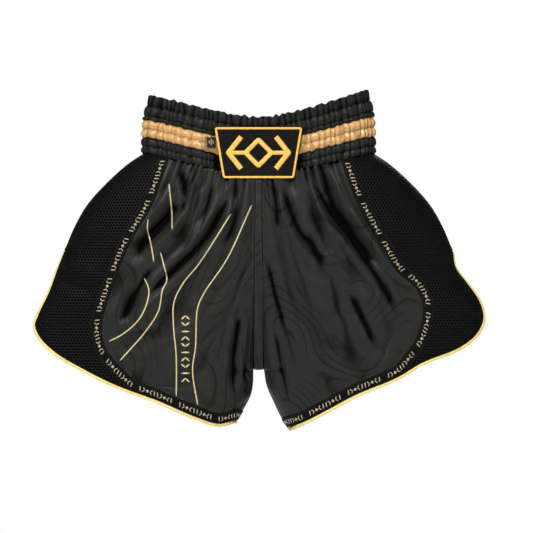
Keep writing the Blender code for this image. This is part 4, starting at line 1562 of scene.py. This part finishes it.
def make_bartack(side, finishes):
    """A dense bar of threads across the side seam, just above the vent."""
    low, high = (np.array(corner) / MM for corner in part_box(f"{side}_vent_bartack"))
    sign = LEGS[side]["sign"]
    bottom = np.array([sign * max(abs(low[0]), abs(high[0])), 0, low[2]])
    top = np.array([sign * min(abs(low[0]), abs(high[0])), 0, high[2]])
    spine = np.linspace(0, 1, 40)[:, None] * (top - bottom) + bottom
    along = (top - bottom) / np.linalg.norm(top - bottom)
    out = np.cross(along, np.array([0, 1.0, 0]))
    out *= np.sign(out[0] * sign)
    rings = []
    for i, place in enumerate(spine):
        rib = 0.12 * (i % 2)
        turn = np.linspace(0, 2 * math.pi, 13)[:-1]
        rings.append(place + np.outer(np.cos(turn) * (3.0 - rib), [0, 1.0, 0])
                     + np.outer(np.sin(turn) * (0.75 - rib) - 0.4, out))
    piece = tube_mesh(f"{side}_bartack_threads", np.array(rings), finishes["thread"])
    return dress(piece, f"{side}_vent_bartack")


def make_leg(side, finishes):
    leg = LEGS[side]
    leg["hem_line"] = smooth(leg["hem"], 500)
    leg["inseam_line"] = smooth(leg["inseam"], 60)
    leg["edge"] = outer_edge(leg)
    leg["tape_rows"] = tape_line(leg, 0.0, 200)
    leg["tape_rows"] = leg["tape_rows"][: int(np.argmin(np.abs(leg["tape_rows"][:, 1] + 350))) + 1]
    pieces = [make_bartack(side, finishes)]
    for face in (-1, 1):
        satin, grid = make_satin(side, face, finishes)
        mesh = make_air_mesh(side, face, finishes)
        tape, tape_grid, away = make_tape(side, face, finishes)
        lining, lining_grid = make_mesh_lining(side, face, finishes)
        on_satin = [tape, make_motifs(side, face, tape_grid, away, finishes),
                    tape_stitches(side, face, tape_grid, away, finishes)]
        on_mesh = [make_binding(side, face, finishes), make_hem_strip(side, face, finishes)]
        if side == "right" and face < 0:
            on_satin.append(make_prints(Draped(grid, face), finishes))
        pieces += [satin, mesh, lining, *on_satin, *on_mesh]
    for piece in pieces:
        swing(piece)


# ---------------------------------------------------------------- the studio

def make_camera():
    data = bpy.data.cameras.new("camera")
    data.sensor_width = 36.0
    data.lens = data.sensor_width * (VIEW_DISTANCE - 0.045) / VIEW_WIDTH
    camera = placed("camera", data)
    camera.location = (VIEW_CENTRE[0], -VIEW_DISTANCE, VIEW_CENTRE[1])
    camera.rotation_euler = (math.pi / 2, 0, 0)
    bpy.context.scene.camera = camera


def area_light(name, place, target, size, power):
    data = bpy.data.lights.new(name, "AREA")
    data.shape = "DISK"
    data.size = size
    data.energy = power
    light = placed(name, data)
    light.location = place
    aim = Vector(target) - Vector(place)
    light.rotation_euler = aim.to_track_quat("-Z", "Y").to_euler()


def make_studio():
    area_light("key", (-0.7, -1.9, 1.35), (0, 0, -0.22), 0.8, 82)
    area_light("fill", (1.7, -1.9, 0.3), (0, 0, -0.22), 1.4, 14)
    area_light("back", (0.3, 2.4, 0.7), (0, 0, -0.22), 2.0, 26)
    floor = Finish("pale_floor", (0.9, 0.9, 0.9), 0.9)
    floor.shader.inputs["Emission Color"].default_value = (1, 1, 1, 1)
    floor.shader.inputs["Emission Strength"].default_value = 0.28
    floor.solid_place()
    floor.colour(floor.span(floor.noise(2.0, 2.0), 0.0, 1.0, 0.0, 1.0), (0.88, 0.88, 0.88),
                 (0.92, 0.92, 0.92))
    turn = np.linspace(0, 2 * math.pi, 97)[:-1]
    radii = np.array([0.0005, 0.6, 1.2, 1.8, 2.5])[:, None] / MM
    grid = np.stack([radii * np.cos(turn), radii * np.sin(turn), 0 * radii * turn + FLOOR / MM],
                    axis=-1)
    disc = make_mesh("floor", grid, cells(len(radii), 96, ring=True).tolist(), floor.material,
                     turn_out=False)
    world = bpy.data.worlds.new("studio")
    world.use_nodes = True
    tree = world.node_tree
    background = tree.nodes["Background"]
    background.inputs["Color"].default_value = (1, 1, 1, 1)
    seen = tree.nodes.new("ShaderNodeLightPath").outputs["Is Camera Ray"]
    strength = tree.nodes.new("ShaderNodeMapRange")
    strength.inputs["To Min"].default_value = SKY
    strength.inputs["To Max"].default_value = 1.0
    tree.links.new(seen, strength.inputs["Value"])
    tree.links.new(strength.outputs[0], background.inputs["Strength"])
    bpy.context.scene.world = world
    bpy.context.scene.view_settings.view_transform = "Standard"


make_camera()
make_studio()
FINISHES = make_finishes()
dress_cad_nodes(FINISHES)
make_waistband(FINISHES)
make_patch(FINISHES)
make_size_tab(FINISHES)
for leg_side in LEGS:
    make_leg(leg_side, FINISHES)
make_centre_strip(FINISHES)
